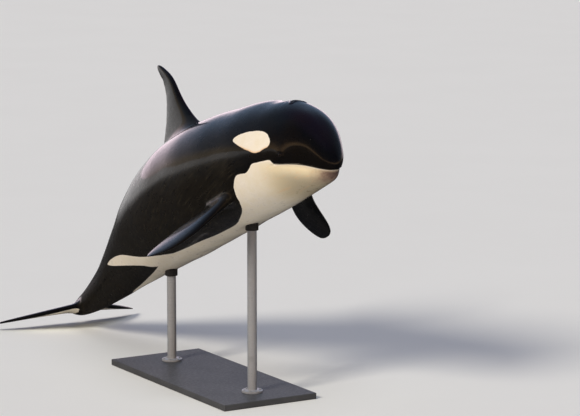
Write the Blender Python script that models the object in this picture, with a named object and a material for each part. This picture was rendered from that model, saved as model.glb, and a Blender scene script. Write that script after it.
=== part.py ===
"""Orca, life size and still, its back arched as it comes up to breathe, on a plain display stand.

Metres. +X points where the snout points, +Y to the animal's left, +Z up.

The animal is laid out straight first. There x is the distance behind the tip of the snout,
y is to the left and z is up from the line that runs from the front of the mouth to the tail.
Every point of flesh is then carried along the arch of the back.
Pieces that touch keep a gap of 0.3 mm.
"""
import math

import bmesh
import bpy
import numpy as np
from mathutils import Vector

# Driving sizes
BODY_LENGTH = 6.0
GAP = 0.0003
SNOUT_AT = (2.781, 0.0, 2.385)

# Outline of the straight body: distance behind the snout, then the size there
BACK_HEIGHT = [(0.0, 0.0), (0.1, 0.220), (0.35, 0.435), (0.8, 0.551), (1.4, 0.545),
               (2.3, 0.542), (3.2, 0.520), (4.2, 0.375), (5.2, 0.190), (6.0, 0.045)]
BELLY_DEPTH = [(0.0, 0.0), (0.1, 0.122), (0.35, 0.236), (0.8, 0.382), (1.4, 0.515),
               (2.3, 0.603), (3.2, 0.562), (4.2, 0.375), (5.2, 0.175), (6.0, 0.040)]
HALF_WIDTH = [(0.0, 0.0), (0.1, 0.143), (0.35, 0.262), (0.8, 0.410), (1.4, 0.495),
              (2.3, 0.541), (3.2, 0.478), (4.2, 0.285), (5.2, 0.105), (6.0, 0.035)]
WIDEST_LEVEL = [(0.0, 0.0), (0.1, 0.027), (0.35, 0.070), (0.8, 0.084), (1.4, 0.055),
                (2.3, 0.020), (3.2, 0.003), (4.2, 0.0), (5.2, 0.0), (6.0, 0.0)]
# How square the cross-section is above and below its widest level, 2 being an ellipse
UPPER_FULLNESS = [(0.0, 1.8), (0.3, 2.55), (0.8, 2.0), (1.6, 2.1),
                  (2.6, 2.0), (4.0, 1.75), (5.0, 1.5), (6.0, 1.6)]
LOWER_FULLNESS = [(0.0, 1.97), (0.3, 2.11), (0.8, 2.2), (1.6, 2.2),
                  (2.6, 2.15), (4.0, 1.8), (5.0, 1.5), (6.0, 1.6)]
# Slope of the body's line, in degrees: nose down a little, then falling away to the tail
BODY_PITCH = [(0.0, -3.6), (0.9, 7.8), (2.3, 21.5), (3.3, 32.0), (4.4, 36.0), (5.4, 28.0), (6.0, 17.0)]

# Mouth, jaw and throat
MOUTH_LEVEL = [(0.0, 0.0), (0.05, -0.007), (0.1, -0.004), (0.2, 0.005), (0.32, 0.011), (0.42, 0.007),
               (0.52, -0.001), (0.7, -0.014), (1.2, -0.03), (2.3, -0.03), (6.0, 0.0)]
GAPE = 0.525
JAW_END = 0.63
MOUTH_GROOVE_DEPTH = 0.010
MOUTH_GROOVE_WIDTH = 0.009
MOUTH_FADE = (GAPE - 0.035, GAPE + 0.02)
LOWER_LIP_INSET = 0.010
LOWER_LIP_LEVELS = (0.0, 0.012, 0.03, 0.12)
LOWER_LIP_FRONT = (0.10, 0.45)
LOWER_LIP_AT_GAPE = 0.35
# The melon's lower edge over the mouth, and how far the skin under it lies back: (behind the snout, size)
MELON_EDGE = [(0.0, 0.070), (0.03, 0.085), (0.07, 0.115), (0.12, 0.20), (0.18, 0.28), (0.25, 0.28),
              (0.35, 0.22), (0.48, 0.18), (0.62, 0.18)]
UNDER_MELON_DEPTH = [(0.0, 0.006), (0.03, 0.014), (0.07, 0.020), (0.12, 0.024), (0.18, 0.030), (0.25, 0.028),
                     (0.35, 0.016), (0.48, 0.008), (0.62, 0.0)]
UNDER_MELON_END = 0.62
UNDER_MELON_FADE = 0.16

# Eye
EYE_AT = (0.460, 0.090)
EYE_RADIUS = 0.027
EYE_SUNK = 0.0215
BROW_RISE = 0.008
BROW_WIDTH = 0.075
LID_HALF_LENGTH = 0.031
LID_HALF_HEIGHT = 0.0175
LID_THICKNESS = 0.0060
LID_TILT = math.radians(10)
LID_SUNK = 0.0015
LID_POINTS = 20

# Blowhole
BLOWHOLE_X = 0.64
BLOWHOLE_HALF_WIDTH = 0.072
BLOWHOLE_BOW = 0.034
BLOWHOLE_OPENING = 0.020
BLOWHOLE_DEPTH = 0.050
BLOWHOLE_LIP = 0.011
BLOWHOLE_LIP_OUTSET = 0.006
BLOWHOLE_LIP_SUNK = 0.004
BLOWHOLE_MOUND = 0.010
BLOWHOLE_MOUND_WIDTH = 0.11
NAPE_X = 0.86
NAPE_DIP = 0.010
NAPE_LENGTH = 0.10
NAPE_WIDTH = 0.20
TOP_OF_HEAD = (0.2, 0.4)

# Where the body is parted: start, end and the spacing of the rings between
HEAD_END = 1.08
HEAD_SPACING = 0.075
BODY_LENGTHS = {
    "chest": (HEAD_END, 2.16, 0.108),
    "abdomen": (2.16, 3.62, 0.112),
    "tail_stock": (3.62, 5.92, 0.125),
}

# Rings: rows of points beside the line of the mouth, and steps from there to the belly and the back
MOUTH_OFFSETS = (0.009, 0.022, 0.045, 0.08)
LOWER_STEPS = 6
UPPER_STEPS = 9
MOUTH_RINGS = 15
MOUTH_RING_GROWTH = 2.2
SNOUT_TIP = 1e-5
# Behind the gape the rows beside the mouth lie further apart, and at the snout, where the body is
# lower than these heights above and below its line, closer together
ROWS_SPREAD = 1.3
ROWS_SPREAD_BY = 1.3
FULL_ROWS_ABOVE = 0.30
FULL_ROWS_BELOW = 0.19

# The arch is worked out at even steps, to a little way past the tail
ARCH_BEYOND = 0.4
ARCH_STEPS = 1600
# First rings of the body that cuts the fins and the rods, ahead of the chest
CUTTER_START = (0.75, 0.9)

# Foil section of the fins: factors of the root, first, second, third and fourth power of the chord's share
FOIL = (2.969, -1.260, -3.516, 2.843, -1.036)
FOIL_STEPS = 9
REAR_EDGE = 0.10
TIP_THICKNESS = 0.15

# Dorsal fin: height above its foot, then the middle and the half length of the chord there
DORSAL_FOOT = 0.535
DORSAL_HEIGHT = 0.825
DORSAL_ROOT = (-0.12, -0.05)
DORSAL_THICKNESS = (0.100, 0.030)
DORSAL_FLARE = 0.06
DORSAL_TIP_POWER = 14
DORSAL_MIDDLE = [(-0.12, 2.738), (0.14, 2.718), (0.29, 2.711), (0.44, 2.706),
                 (0.64, 2.730), (0.74, 2.780), (0.825, 2.828)]
DORSAL_HALF_CHORD = [(-0.12, 0.37), (0.0, 0.37), (0.14, 0.287), (0.29, 0.189), (0.44, 0.122),
                     (0.64, 0.075), (0.74, 0.058), (0.825, 0.050)]

# Flippers: distance out from the root, then the same
FLIPPER_ROOT = (1.40, 0.400, -0.300)
FLIPPER_LENGTH = 0.95
FLIPPER_SWEEP = math.radians(38)
FLIPPER_DROOP = math.radians(45)
FLIPPER_BOW = 0.10
FLIPPER_ROOT_STATIONS = (-0.16, -0.05, 0.04)
FLIPPER_THICKNESS = (0.075, 0.030)
FLIPPER_FLARE = 0.025
FLIPPER_TIP_POWER = 4
FLIPPER_MIDDLE = [(0.0, 0.0), (0.35, 0.01), (0.65, 0.05), (0.95, 0.13)]
FLIPPER_HALF_CHORD = [(0.0, 0.145), (0.25, 0.185), (0.5, 0.217), (0.75, 0.20), (0.95, 0.15)]

# Flukes: distance out from the middle, then the same
FLUKE_LENGTH = 0.84
FLUKE_MIDDLE = [(0.0, 5.755), (0.15, 5.815), (0.35, 5.885), (0.55, 5.965), (0.7, 6.045), (0.84, 6.14)]
FLUKE_HALF_CHORD = [(0.0, 0.245), (0.15, 0.215), (0.35, 0.155), (0.55, 0.10), (0.7, 0.062), (0.84, 0.035)]
FLUKE_NOTCH = 0.05
FLUKE_NOTCH_WIDTH = 0.035
FLUKE_NOTCH_REACH = (5.80, 6.0)
FLUKE_LEVEL = 0.005
FLUKE_BOW = 0.035
FLUKE_THICKNESS = (0.075, 0.022)
FLUKE_FLARE = 0.03
FLUKE_TIP_POWER = 8

# Display stand
BASE_SIZE = (2.30, 1.00, 0.060)
BASE_X = 0.48
BASE_EASE = 0.008
ROD_RADIUS = 0.045
ROD_X = {"front": BASE_X + 0.80, "rear": BASE_X - 0.80}
ROD_SIDES = 32
FLANGE_RADIUS = 0.100
FLANGE_HEIGHT = 0.018
FLANGE_CHAMFER = 0.004
FLANGE_FILLET = 0.012

COLOURS = {
    "black_skin": ((0.018, 0.019, 0.022), 0.25, 0.0),
    "white_skin": ((0.86, 0.80, 0.66), 0.30, 0.0),
    "eye": ((0.045, 0.022, 0.014), 0.08, 0.0),
    "stand_board": ((0.060, 0.062, 0.066), 0.50, 0.0),
    "stand_steel": ((0.42, 0.43, 0.45), 0.35, 0.9),
}


# Curves

def natural_spline(points):
    """Smooth curve through (x, value) points, as a function of x that takes arrays."""
    xs = np.array([p[0] for p in points], float)
    ys = np.array([p[1] for p in points], float)
    count = len(xs)
    step = np.diff(xs)
    system = np.eye(count)
    right = np.zeros(count)
    for i in range(1, count - 1):
        system[i, i - 1:i + 2] = step[i - 1], 2 * (step[i - 1] + step[i]), step[i]
        right[i] = 6 * ((ys[i + 1] - ys[i]) / step[i] - (ys[i] - ys[i - 1]) / step[i - 1])
    bend = np.linalg.solve(system, right)

    def value(x):
        x = np.asarray(x, float)
        i = np.clip(np.searchsorted(xs, x) - 1, 0, count - 2)
        before, after = x - xs[i], xs[i + 1] - x
        return ((bend[i] * after ** 3 + bend[i + 1] * before ** 3) / (6 * step[i])
                + (ys[i] / step[i] - bend[i] * step[i] / 6) * after
                + (ys[i + 1] / step[i] - bend[i + 1] * step[i] / 6) * before)
    return value


def body_profile(points):
    """Profile along the body, rounded off at the snout: a spline in the square root of the distance."""
    curve = natural_spline([(math.sqrt(x), value) for x, value in points])
    return lambda x: curve(np.sqrt(np.maximum(x, 0.0)))


def smooth_step(x, start, end):
    """0 before start, 1 after end, and smooth between."""
    t = np.clip((np.asarray(x, float) - start) / (end - start), 0.0, 1.0)
    return t * t * (3 - 2 * t)


def window(x, start, full, fading, end):
    """1 between full and fading, 0 before start and after end, and smooth between."""
    return smooth_step(x, start, full) * (1 - smooth_step(x, fading, end))


def bump(x, width):
    """A bell of height 1 round x = 0."""
    return np.exp(-(np.asarray(x, float) / width) ** 2)


back_height = body_profile(BACK_HEIGHT)
belly_depth = body_profile(BELLY_DEPTH)
half_width = body_profile(HALF_WIDTH)
widest_level = body_profile(WIDEST_LEVEL)
upper_fullness = body_profile(UPPER_FULLNESS)
lower_fullness = body_profile(LOWER_FULLNESS)
mouth_level = body_profile(MOUTH_LEVEL)
melon_edge = natural_spline(MELON_EDGE)
under_melon_depth = natural_spline(UNDER_MELON_DEPTH)


# The straight body

def plain_skin(x, angle):
    """Points of the plain body: angle 0 is the belly, pi/2 the right side and pi the back."""
    x, angle = np.broadcast_arrays(np.asarray(x, float), np.asarray(angle, float))
    middle = widest_level(x)
    above = np.cos(angle) < 0
    fullness = np.where(above, upper_fullness(x), lower_fullness(x))
    reach = np.where(above, back_height(x) - middle, belly_depth(x) + middle)
    sine, cosine = np.sin(angle), np.cos(angle)
    y = -half_width(x) * np.sign(sine) * np.abs(sine) ** (2 / fullness)
    z = middle - np.sign(cosine) * reach * np.abs(cosine) ** (2 / fullness)
    return np.stack([x, y, z], axis=-1)


def angle_at(x, level):
    """Angle at which the right side of the body has the height level."""
    middle = float(widest_level(x))
    if level > middle:
        share = (level - middle) / (float(back_height(x)) - middle)
        return math.pi - math.acos(min(share, 1.0) ** (float(upper_fullness(x)) / 2))
    share = (middle - level) / (float(belly_depth(x)) + middle)
    return math.acos(min(share, 1.0) ** (float(lower_fullness(x)) / 2))


def skin_normals(x, angle):
    """Outward normals of the plain body."""
    tiny = 1e-4
    root = np.sqrt(np.maximum(x, 1e-5))
    along = plain_skin((root + tiny) ** 2, angle) - plain_skin((root - tiny) ** 2, angle)
    around = plain_skin(x, angle + tiny) - plain_skin(x, angle - tiny)
    normal = np.cross(along, around)
    length = np.linalg.norm(normal, axis=-1, keepdims=True)
    return normal / np.maximum(length, 1e-12)


def tuck(share):
    """0 and level where share is 0, rising to 1 where share is 1."""
    return 1.5 * share ** 2 - 0.5 * share ** 3


def relief(point):
    """How far the skin stands out from the plain body, for the mouth, the melon, brow and blowhole."""
    x, y, z = point[..., 0], point[..., 1], point[..., 2]
    over_mouth = z - mouth_level(x)
    in_mouth = 1 - smooth_step(x, *MOUTH_FADE)
    groove = -MOUTH_GROOVE_DEPTH * bump(over_mouth, MOUTH_GROOVE_WIDTH)
    towards_front = 1 - smooth_step(x, *LOWER_LIP_FRONT)
    inset = LOWER_LIP_INSET * (LOWER_LIP_AT_GAPE + (1 - LOWER_LIP_AT_GAPE) * towards_front)
    lower_lip = -inset * window(-over_mouth, *LOWER_LIP_LEVELS)
    on_head = np.clip(x, 0.0, UNDER_MELON_END)
    share = np.clip(1 - over_mouth / melon_edge(on_head), 0.0, 1.0)
    under_melon = -under_melon_depth(on_head) * tuck(share)
    under_melon = under_melon * (1 - smooth_step(-over_mouth, 0.0, UNDER_MELON_FADE))
    brow = BROW_RISE * bump(np.hypot(x - EYE_AT[0], z - EYE_AT[1]), BROW_WIDTH)
    mound = BLOWHOLE_MOUND * bump(np.hypot(x - BLOWHOLE_X, y), BLOWHOLE_MOUND_WIDTH)
    nape = -NAPE_DIP * bump(x - NAPE_X, NAPE_LENGTH) * bump(y, NAPE_WIDTH)
    on_top = smooth_step(z, *TOP_OF_HEAD)
    return (groove + lower_lip) * in_mouth + under_melon + brow + (mound + nape) * on_top


def skin(x, angle, proud=0.0):
    """Points of the body's skin, or of a surface that lies proud of it."""
    plain = plain_skin(x, angle)
    return plain + skin_normals(x, angle) * (relief(plain) + proud)[..., None]


# The arch of the back

def make_arch():
    """The body's line at close steps: distance behind the snout, slope, and place."""
    reach = np.linspace(0.0, BODY_LENGTH + ARCH_BEYOND, ARCH_STEPS + 1)
    slope = np.radians(natural_spline(BODY_PITCH)(np.minimum(reach, BODY_LENGTH)))
    step = reach[1] - reach[0]
    back = np.concatenate([[0.0], np.cumsum(np.cos((slope[1:] + slope[:-1]) / 2))]) * step
    down = np.concatenate([[0.0], np.cumsum(np.sin((slope[1:] + slope[:-1]) / 2))]) * step
    return reach, slope, SNOUT_AT[0] - back, SNOUT_AT[2] - down


ARCH = make_arch()


def posed(points):
    """Straight-body points carried onto the arched body."""
    points = np.asarray(points, float)
    reach, slope, line_x, line_z = ARCH
    x = points[..., 0]
    ahead = np.minimum(x, 0.0)
    angle = np.interp(x, reach, slope)
    place_x = np.interp(x, reach, line_x) - ahead * math.cos(slope[0])
    place_z = np.interp(x, reach, line_z) - ahead * math.sin(slope[0])
    return np.stack([place_x - np.sin(angle) * points[..., 2],
                     SNOUT_AT[1] + points[..., 1],
                     place_z + np.cos(angle) * points[..., 2]], axis=-1)


def line_height(world_x):
    """Height of the arched body's line over a place along the floor."""
    _, _, line_x, line_z = ARCH
    return float(np.interp(-world_x, -line_x, line_z))


# Meshes

class Shell:
    """Points and faces of one closed surface, gathered row by row."""

    def __init__(self):
        self.points = []
        self.faces = []

    def row(self, points):
        """Add a row of points and give back their numbers."""
        start = len(self.points)
        self.points.extend(tuple(float(c) for c in p) for p in points)
        return list(range(start, len(self.points)))

    def bridge(self, first, second):
        """Triangles between two rows of the same length, or between a point and a row."""
        if len(first) == 1:
            first = first * len(second)
        for i in range(len(second) - 1):
            corners = first[i], first[i + 1], second[i + 1], second[i]
            if corners[0] != corners[1]:
                self.faces.append((corners[0], corners[1], corners[2]))
            self.faces.append((corners[0], corners[2], corners[3]))

    def cap(self, row):
        """One flat face over a closed row."""
        self.faces.append(tuple(row))

    def loft(self, loops):
        """Closed loops of points joined one to the next and capped at both ends."""
        rows = [self.row(loop) for loop in loops]
        for first, second in zip(rows, rows[1:]):
            self.bridge(first + first[:1], second + second[:1])
        self.cap(rows[0])
        self.cap(rows[-1])
        return self

    def object(self, name, material):
        """A Blender object of the shell, its faces all pointing out."""
        mesh = bpy.data.meshes.new(name)
        mesh.from_pydata(self.points, [], self.faces)
        tidy_faces(mesh)
        piece = bpy.data.objects.new(name, mesh)
        bpy.context.scene.collection.objects.link(piece)
        mesh.materials.append(MATERIALS[material])
        return piece


def tidy_faces(mesh):
    """Point the faces out and shade them smooth."""
    work = bmesh.new()
    work.from_mesh(mesh)
    bmesh.ops.recalc_face_normals(work, faces=work.faces)
    work.to_mesh(mesh)
    work.free()
    mesh.shade_smooth()


def keep_largest(mesh):
    """Drop every loose scrap but the largest closed surface."""
    work = bmesh.new()
    work.from_mesh(mesh)
    unseen = set(work.verts)
    islands = []
    while unseen:
        front = [unseen.pop()]
        island = set(front)
        while front:
            vertex = front.pop()
            for edge in vertex.link_edges:
                other = edge.other_vert(vertex)
                if other in unseen:
                    unseen.remove(other)
                    island.add(other)
                    front.append(other)
        islands.append(island)
    largest = max(islands, key=len)
    scraps = [v for island in islands if island is not largest for v in island]
    bmesh.ops.delete(work, geom=scraps, context="VERTS")
    work.to_mesh(mesh)
    work.free()


def combine(piece, others, operation):
    """Join other closed pieces to this one, or cut them out of it, and drop them from the scene."""
    group = bpy.data.collections.new("pieces")
    for other in others:
        group.objects.link(other)
    modifier = piece.modifiers.new(operation.lower(), "BOOLEAN")
    modifier.operation = operation
    modifier.operand_type = "COLLECTION"
    modifier.collection = group
    modifier.solver = "EXACT"
    bpy.context.view_layer.update()
    view = bpy.context.evaluated_depsgraph_get()
    result = bpy.data.meshes.new_from_object(piece.evaluated_get(view))
    piece.modifiers.clear()
    piece.data = result
    keep_largest(result)
    result.shade_smooth()
    for other in others:
        bpy.data.objects.remove(other)
    bpy.data.collections.remove(group)


def make_materials():
    """One plain material for each finish."""
    materials = {}
    for name, (colour, roughness, metallic) in COLOURS.items():
        material = bpy.data.materials.new(name)
        material.use_nodes = True
        shader = material.node_tree.nodes["Principled BSDF"]
        shader.inputs["Base Color"].default_value = (*colour, 1.0)
        shader.inputs["Roughness"].default_value = roughness
        shader.inputs["Metallic"].default_value = metallic
        material.diffuse_color = (*colour, 1.0)
        materials[name] = material
    return materials


# Rings of the body

def ring_angles(x):
    """Angles of one ring, belly to back on the right side, close together along the mouth."""
    spread = 1 + ROWS_SPREAD * float(smooth_step(x, GAPE, ROWS_SPREAD_BY))
    shrink = min(1.0, float(back_height(x)) / FULL_ROWS_ABOVE, float(belly_depth(x)) / FULL_ROWS_BELOW)
    offsets = [offset * spread * shrink for offset in MOUTH_OFFSETS]
    level = float(mouth_level(x))
    below = [angle_at(x, level - offset) for offset in reversed(offsets)]
    above = [angle_at(x, level + offset) for offset in offsets]
    lower = list(np.linspace(0.0, below[0], LOWER_STEPS + 1)[:-1])
    upper = list(np.linspace(above[-1], math.pi, UPPER_STEPS + 1)[1:])
    mouth_column = len(lower) + len(below)
    return np.array(lower + below + [angle_at(x, level)] + above + upper), mouth_column


def mirrored(points):
    """The same points on the animal's other side."""
    return np.asarray(points) * (1, -1, 1)


def ring(x, proud=0.0):
    """A closed ring of skin points: up the right side, over the back and down the left."""
    angles, _ = ring_angles(x)
    right = skin(np.full(len(angles), x), angles, proud)
    return np.concatenate([right, mirrored(right[-2:0:-1])])


def upper_row(x):
    """The ring above the mouth, from the right corner of the lips over the back to the left one."""
    angles, mouth = ring_angles(x)
    right = skin(np.full(len(angles), x), angles)[mouth:]
    right[0, 2] += GAP / 2
    return np.concatenate([right, mirrored(right[-2::-1])])


def lower_row(x):
    """The ring below the mouth, from the left corner of the lips under the chin to the right one."""
    angles, mouth = ring_angles(x)
    right = skin(np.full(len(angles), x), angles)[:mouth + 1]
    right[-1, 2] -= GAP / 2
    return np.concatenate([mirrored(right[::-1]), right[1:]])


def across(start, end, count=3):
    """Points between two ends, along a straight line."""
    return [start + (end - start) * (i + 1) / (count + 1) for i in range(count)]


def ring_places(start, end, spacing):
    """Even places from start to end, about spacing apart."""
    count = max(2, round((end - start) / spacing))
    return list(np.linspace(start, end, count + 1))


def mouth_places():
    """Ring places along the jaw, closer together towards the snout."""
    return [JAW_END * (i / MOUTH_RINGS) ** MOUTH_RING_GROWTH for i in range(1, MOUTH_RINGS + 1)]


def snout_tip():
    """The foremost point of the lips, on the middle plane."""
    return skin(np.array([SNOUT_TIP]), np.array([angle_at(SNOUT_TIP, 0.0)]))[0] * (1, 0, 1)


# Sub-parts of the body

def make_head():
    """Skull, melon and upper jaw, with the floor of the closed mouth and the wall behind the jaw."""
    shell = Shell()
    tip_number = shell.row([posed(snout_tip() + (0, 0, GAP / 2))])
    places = mouth_places()
    places[-1] += GAP / 2
    upper, floor = [], []
    for x in places:
        row = upper_row(x)
        numbers = shell.row(posed(row))
        middle = shell.row(posed(across(row[-1], row[0])))
        upper.append(numbers)
        floor.append([numbers[-1]] + middle + [numbers[0]])
    shell.bridge(tip_number, upper[0])
    shell.bridge(tip_number, floor[0])
    for rows in (upper, floor):
        for first, second in zip(rows, rows[1:]):
            shell.bridge(first, second)
    numbers = upper[-1]
    under = shell.row(posed(lower_row(places[-1])[1:-1]))
    loops = [numbers + under]
    shell.cap([numbers[-1]] + under + floor[-1][::-1][:-1])
    for x in ring_places(JAW_END, HEAD_END - GAP / 2, HEAD_SPACING)[1:]:
        whole = np.concatenate([upper_row(x), lower_row(x)[1:-1]])
        loops.append(shell.row(posed(whole)))
    for first, second in zip(loops, loops[1:]):
        shell.bridge(first + first[:1], second + second[:1])
    shell.cap(loops[-1])
    head = shell.object("head", "black_skin")
    combine(head, [make_lids(side) for side in (1, -1)] + [make_blowhole_lip()], "UNION")
    sockets = [make_eyeball("socket", side, EYE_RADIUS + GAP) for side in (1, -1)]
    combine(head, sockets + [make_blowhole_slot()], "DIFFERENCE")
    return head


def make_lower_jaw():
    """Chin and lower jaw, up to the closed mouth."""
    shell = Shell()
    tip_number = shell.row([posed(snout_tip() - (0, 0, GAP / 2))])
    places = mouth_places()
    places[-1] -= GAP / 2
    loops = []
    for x in places:
        row = lower_row(x)
        loops.append(shell.row(posed(np.concatenate([row, across(row[-1], row[0])]))))
    first = loops[0]
    shell.bridge(tip_number, first + first[:1])
    for first, second in zip(loops, loops[1:]):
        shell.bridge(first + first[:1], second + second[:1])
    shell.cap(loops[-1])
    return shell.object("lower_jaw", "white_skin")


def make_length(name, start, end, spacing):
    """One length of the body between two cuts."""
    places = ring_places(start + GAP / 2, end - GAP / 2, spacing)
    return Shell().loft([posed(ring(x)) for x in places]).object(name, "black_skin")


def body_cutter():
    """The body a gap larger all round, to cut the roots of the fins and the tops of the rods."""
    places = set()
    for start, end, spacing in BODY_LENGTHS.values():
        places.update(np.round(ring_places(start + GAP / 2, end - GAP / 2, spacing), 6))
    places = list(CUTTER_START) + sorted(places)
    places[-1] += GAP
    return Shell().loft([posed(ring(x, GAP)) for x in places]).object("body_cutter", "black_skin")


# Eyes, lids and blowhole

def skin_frame(x, angle, side):
    """A point of the skin with its outward normal and two directions along the skin: back and up."""
    point = skin(np.array([x]), np.array([angle]))[0]
    normal = skin_normals(np.array([x]), np.array([angle]))[0]
    back = np.array([1.0, 0.0, 0.0]) - normal * normal[0]
    back /= np.linalg.norm(back)
    up = np.cross(normal, back)
    if side > 0:
        point, normal, back, up = (mirrored(v) for v in (point, normal, back, up))
    return point, normal, back, up


def tube_loop(centres, radii, outward, sides=6):
    """A closed tube round a loop of centres, its section set square to the loop."""
    centres = np.asarray(centres)
    tangents = np.roll(centres, -1, axis=0) - np.roll(centres, 1, axis=0)
    tangents /= np.linalg.norm(tangents, axis=1, keepdims=True)
    across_loop = np.cross(tangents, outward)
    across_loop /= np.linalg.norm(across_loop, axis=1, keepdims=True)
    turn = np.linspace(0, 2 * math.pi, sides, endpoint=False)
    rows = []
    for centre, radius, side, tangent in zip(centres, radii, across_loop, tangents):
        lift = np.cross(side, tangent)
        rows.append([centre + radius * (math.cos(t) * side + math.sin(t) * lift) for t in turn])
    return rows


def closed_tube(name, rows):
    """A ring-shaped object from the sections of a closed tube."""
    shell = Shell()
    numbers = [shell.row(posed(row)) for row in rows]
    for first, second in zip(numbers, numbers[1:] + numbers[:1]):
        shell.bridge(first + first[:1], second + second[:1])
    return shell.object(name, "black_skin")


def make_lids(side):
    """Upper and lower lid as one almond rim, its corners drawn out."""
    point, normal, back, up = skin_frame(EYE_AT[0], angle_at(*EYE_AT), side)
    forward_low = back * math.cos(LID_TILT) + up * math.sin(LID_TILT)
    lift = up * math.cos(LID_TILT) - back * math.sin(LID_TILT)
    centres, radii = [], []
    for i in range(LID_POINTS):
        turn = 2 * math.pi * i / LID_POINTS
        along = LID_HALF_LENGTH * math.cos(turn)
        height = LID_HALF_HEIGHT * math.sin(turn) * abs(math.sin(turn)) ** 0.25
        centres.append(point + forward_low * along + lift * height - normal * LID_SUNK)
        radii.append(LID_THICKNESS * (1.0 - 0.3 * abs(math.cos(turn)) ** 3))
    return closed_tube("lids", tube_loop(centres, radii, normal))


def make_eyeball(name, side, radius):
    """An eyeball set in the side of the head, or the ball that cuts its socket."""
    point, normal, _, _ = skin_frame(EYE_AT[0], angle_at(*EYE_AT), side)
    centre = posed(point - normal * EYE_SUNK)
    mesh = bpy.data.meshes.new(name)
    work = bmesh.new()
    bmesh.ops.create_icosphere(work, subdivisions=3, radius=radius)
    bmesh.ops.translate(work, verts=work.verts, vec=Vector(centre))
    work.to_mesh(mesh)
    work.free()
    mesh.shade_smooth()
    mesh.materials.append(MATERIALS["eye"])
    ball = bpy.data.objects.new(name, mesh)
    bpy.context.scene.collection.objects.link(ball)
    return ball


def on_back(x, y, proud=0.0):
    """The point of the skin on top of the head at distance x behind the snout and y to the left."""
    middle = float(widest_level(x))
    fullness = float(upper_fullness(x))
    share = min(abs(y) / float(half_width(x)), 1.0)
    height = middle + (float(back_height(x)) - middle) * (1 - share ** fullness) ** (1 / fullness)
    plain = np.array([x, y, height])
    return plain + (0, 0, float(relief(plain)) + proud)


def crescent(grow=0.0, count=9):
    """Outline of the blowhole seen from above: its horns point forward."""
    half = BLOWHOLE_HALF_WIDTH + grow
    rear, front = [], []
    for i in range(count):
        share = -1 + 2 * i / (count - 1)
        bow = BLOWHOLE_X + BLOWHOLE_BOW * (0.5 - share ** 2)
        opening = (BLOWHOLE_OPENING / 2 + grow) * math.sqrt(max(1 - share ** 2, 0.02))
        rear.append((bow + opening, share * half))
        front.append((bow - opening, share * half))
    return rear + front[::-1]


def make_blowhole_lip():
    """The raised rim round the blowhole."""
    outline = crescent(grow=BLOWHOLE_LIP_OUTSET)
    centres = [on_back(x, y, -BLOWHOLE_LIP_SUNK) for x, y in outline]
    radii = [BLOWHOLE_LIP] * len(centres)
    return closed_tube("blowhole_lip", tube_loop(centres, radii, np.array([0.0, 0.0, 1.0])))


def make_blowhole_slot():
    """The crescent opening, cut a little way down."""
    outline = crescent()
    top = [on_back(x, y, BLOWHOLE_DEPTH) for x, y in outline]
    bottom = [on_back(x, y * 0.8, -BLOWHOLE_DEPTH) for x, y in outline]
    return Shell().loft([posed(top), posed(bottom)]).object("blowhole_slot", "black_skin")


# Fins

def fin_section():
    """Foil outline, front edge first: share of the chord, and share of the half thickness."""
    shares = [(1 - math.cos(math.pi * i / FOIL_STEPS)) / 2 for i in range(FOIL_STEPS + 1)]
    upper = []
    for share in shares:
        half = FOIL[0] * math.sqrt(share) + sum(FOIL[power] * share ** power for power in range(1, 5))
        edge = REAR_EDGE * share * math.sqrt(max(1 - share ** 8, 0.0))
        upper.append((share, half + edge))
    lower = [(share, -half) for share, half in reversed(upper[1:-1])]
    return upper + lower


def thinning(span, length, sizes):
    """Thickness of a fin that thins evenly from its root to its tip."""
    root, tip = sizes
    return tip + (root - tip) * (1 - max(span, 0.0) / length)


def flare(span, size):
    """How much wider a fin is near its root, fading over its own size."""
    return size * math.exp(-max(span, 0.0) / size)


def fin_loops(stations, middle, half_chord, thickness, place, length, tip_power):
    """Loops of a fin from root to tip. place turns span, chord and thickness into a point."""
    loops = []
    for station in stations:
        rounding = math.sqrt(max(1 - max(station / length, 0.0) ** tip_power, 0.0))
        half = float(half_chord(station)) * rounding
        thick = float(thickness(station)) * max(rounding, TIP_THICKNESS) / 2
        centre = float(middle(station))
        loops.append([place(station, centre + half * (2 * share - 1), thick * side)
                      for share, side in fin_section()])
    return loops


def span_stations(start, length, count):
    """Places along a fin, closer together towards the rounded tip."""
    tip_share = 0.995
    turns = np.linspace(0.0, math.asin(tip_share), count)
    return [start + (length - start) * math.sin(t) for t in turns]


def make_dorsal_fin():
    """The tall fin on the back, with its foot flared into the body."""
    middle = natural_spline(DORSAL_MIDDLE)
    chord = natural_spline(DORSAL_HALF_CHORD)

    def half_chord(height):
        return chord(height) + flare(height, DORSAL_FLARE)

    def thickness(height):
        return thinning(height, DORSAL_HEIGHT, DORSAL_THICKNESS) + flare(height, DORSAL_FLARE)

    def place(height, x, side):
        return x, side, DORSAL_FOOT + height

    stations = list(DORSAL_ROOT) + span_stations(0.0, DORSAL_HEIGHT, 14)
    loops = fin_loops(stations, middle, half_chord, thickness, place, DORSAL_HEIGHT, DORSAL_TIP_POWER)
    fin = Shell().loft([posed(loop) for loop in loops]).object("dorsal_fin", "black_skin")
    combine(fin, [body_cutter()], "DIFFERENCE")
    return fin


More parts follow.
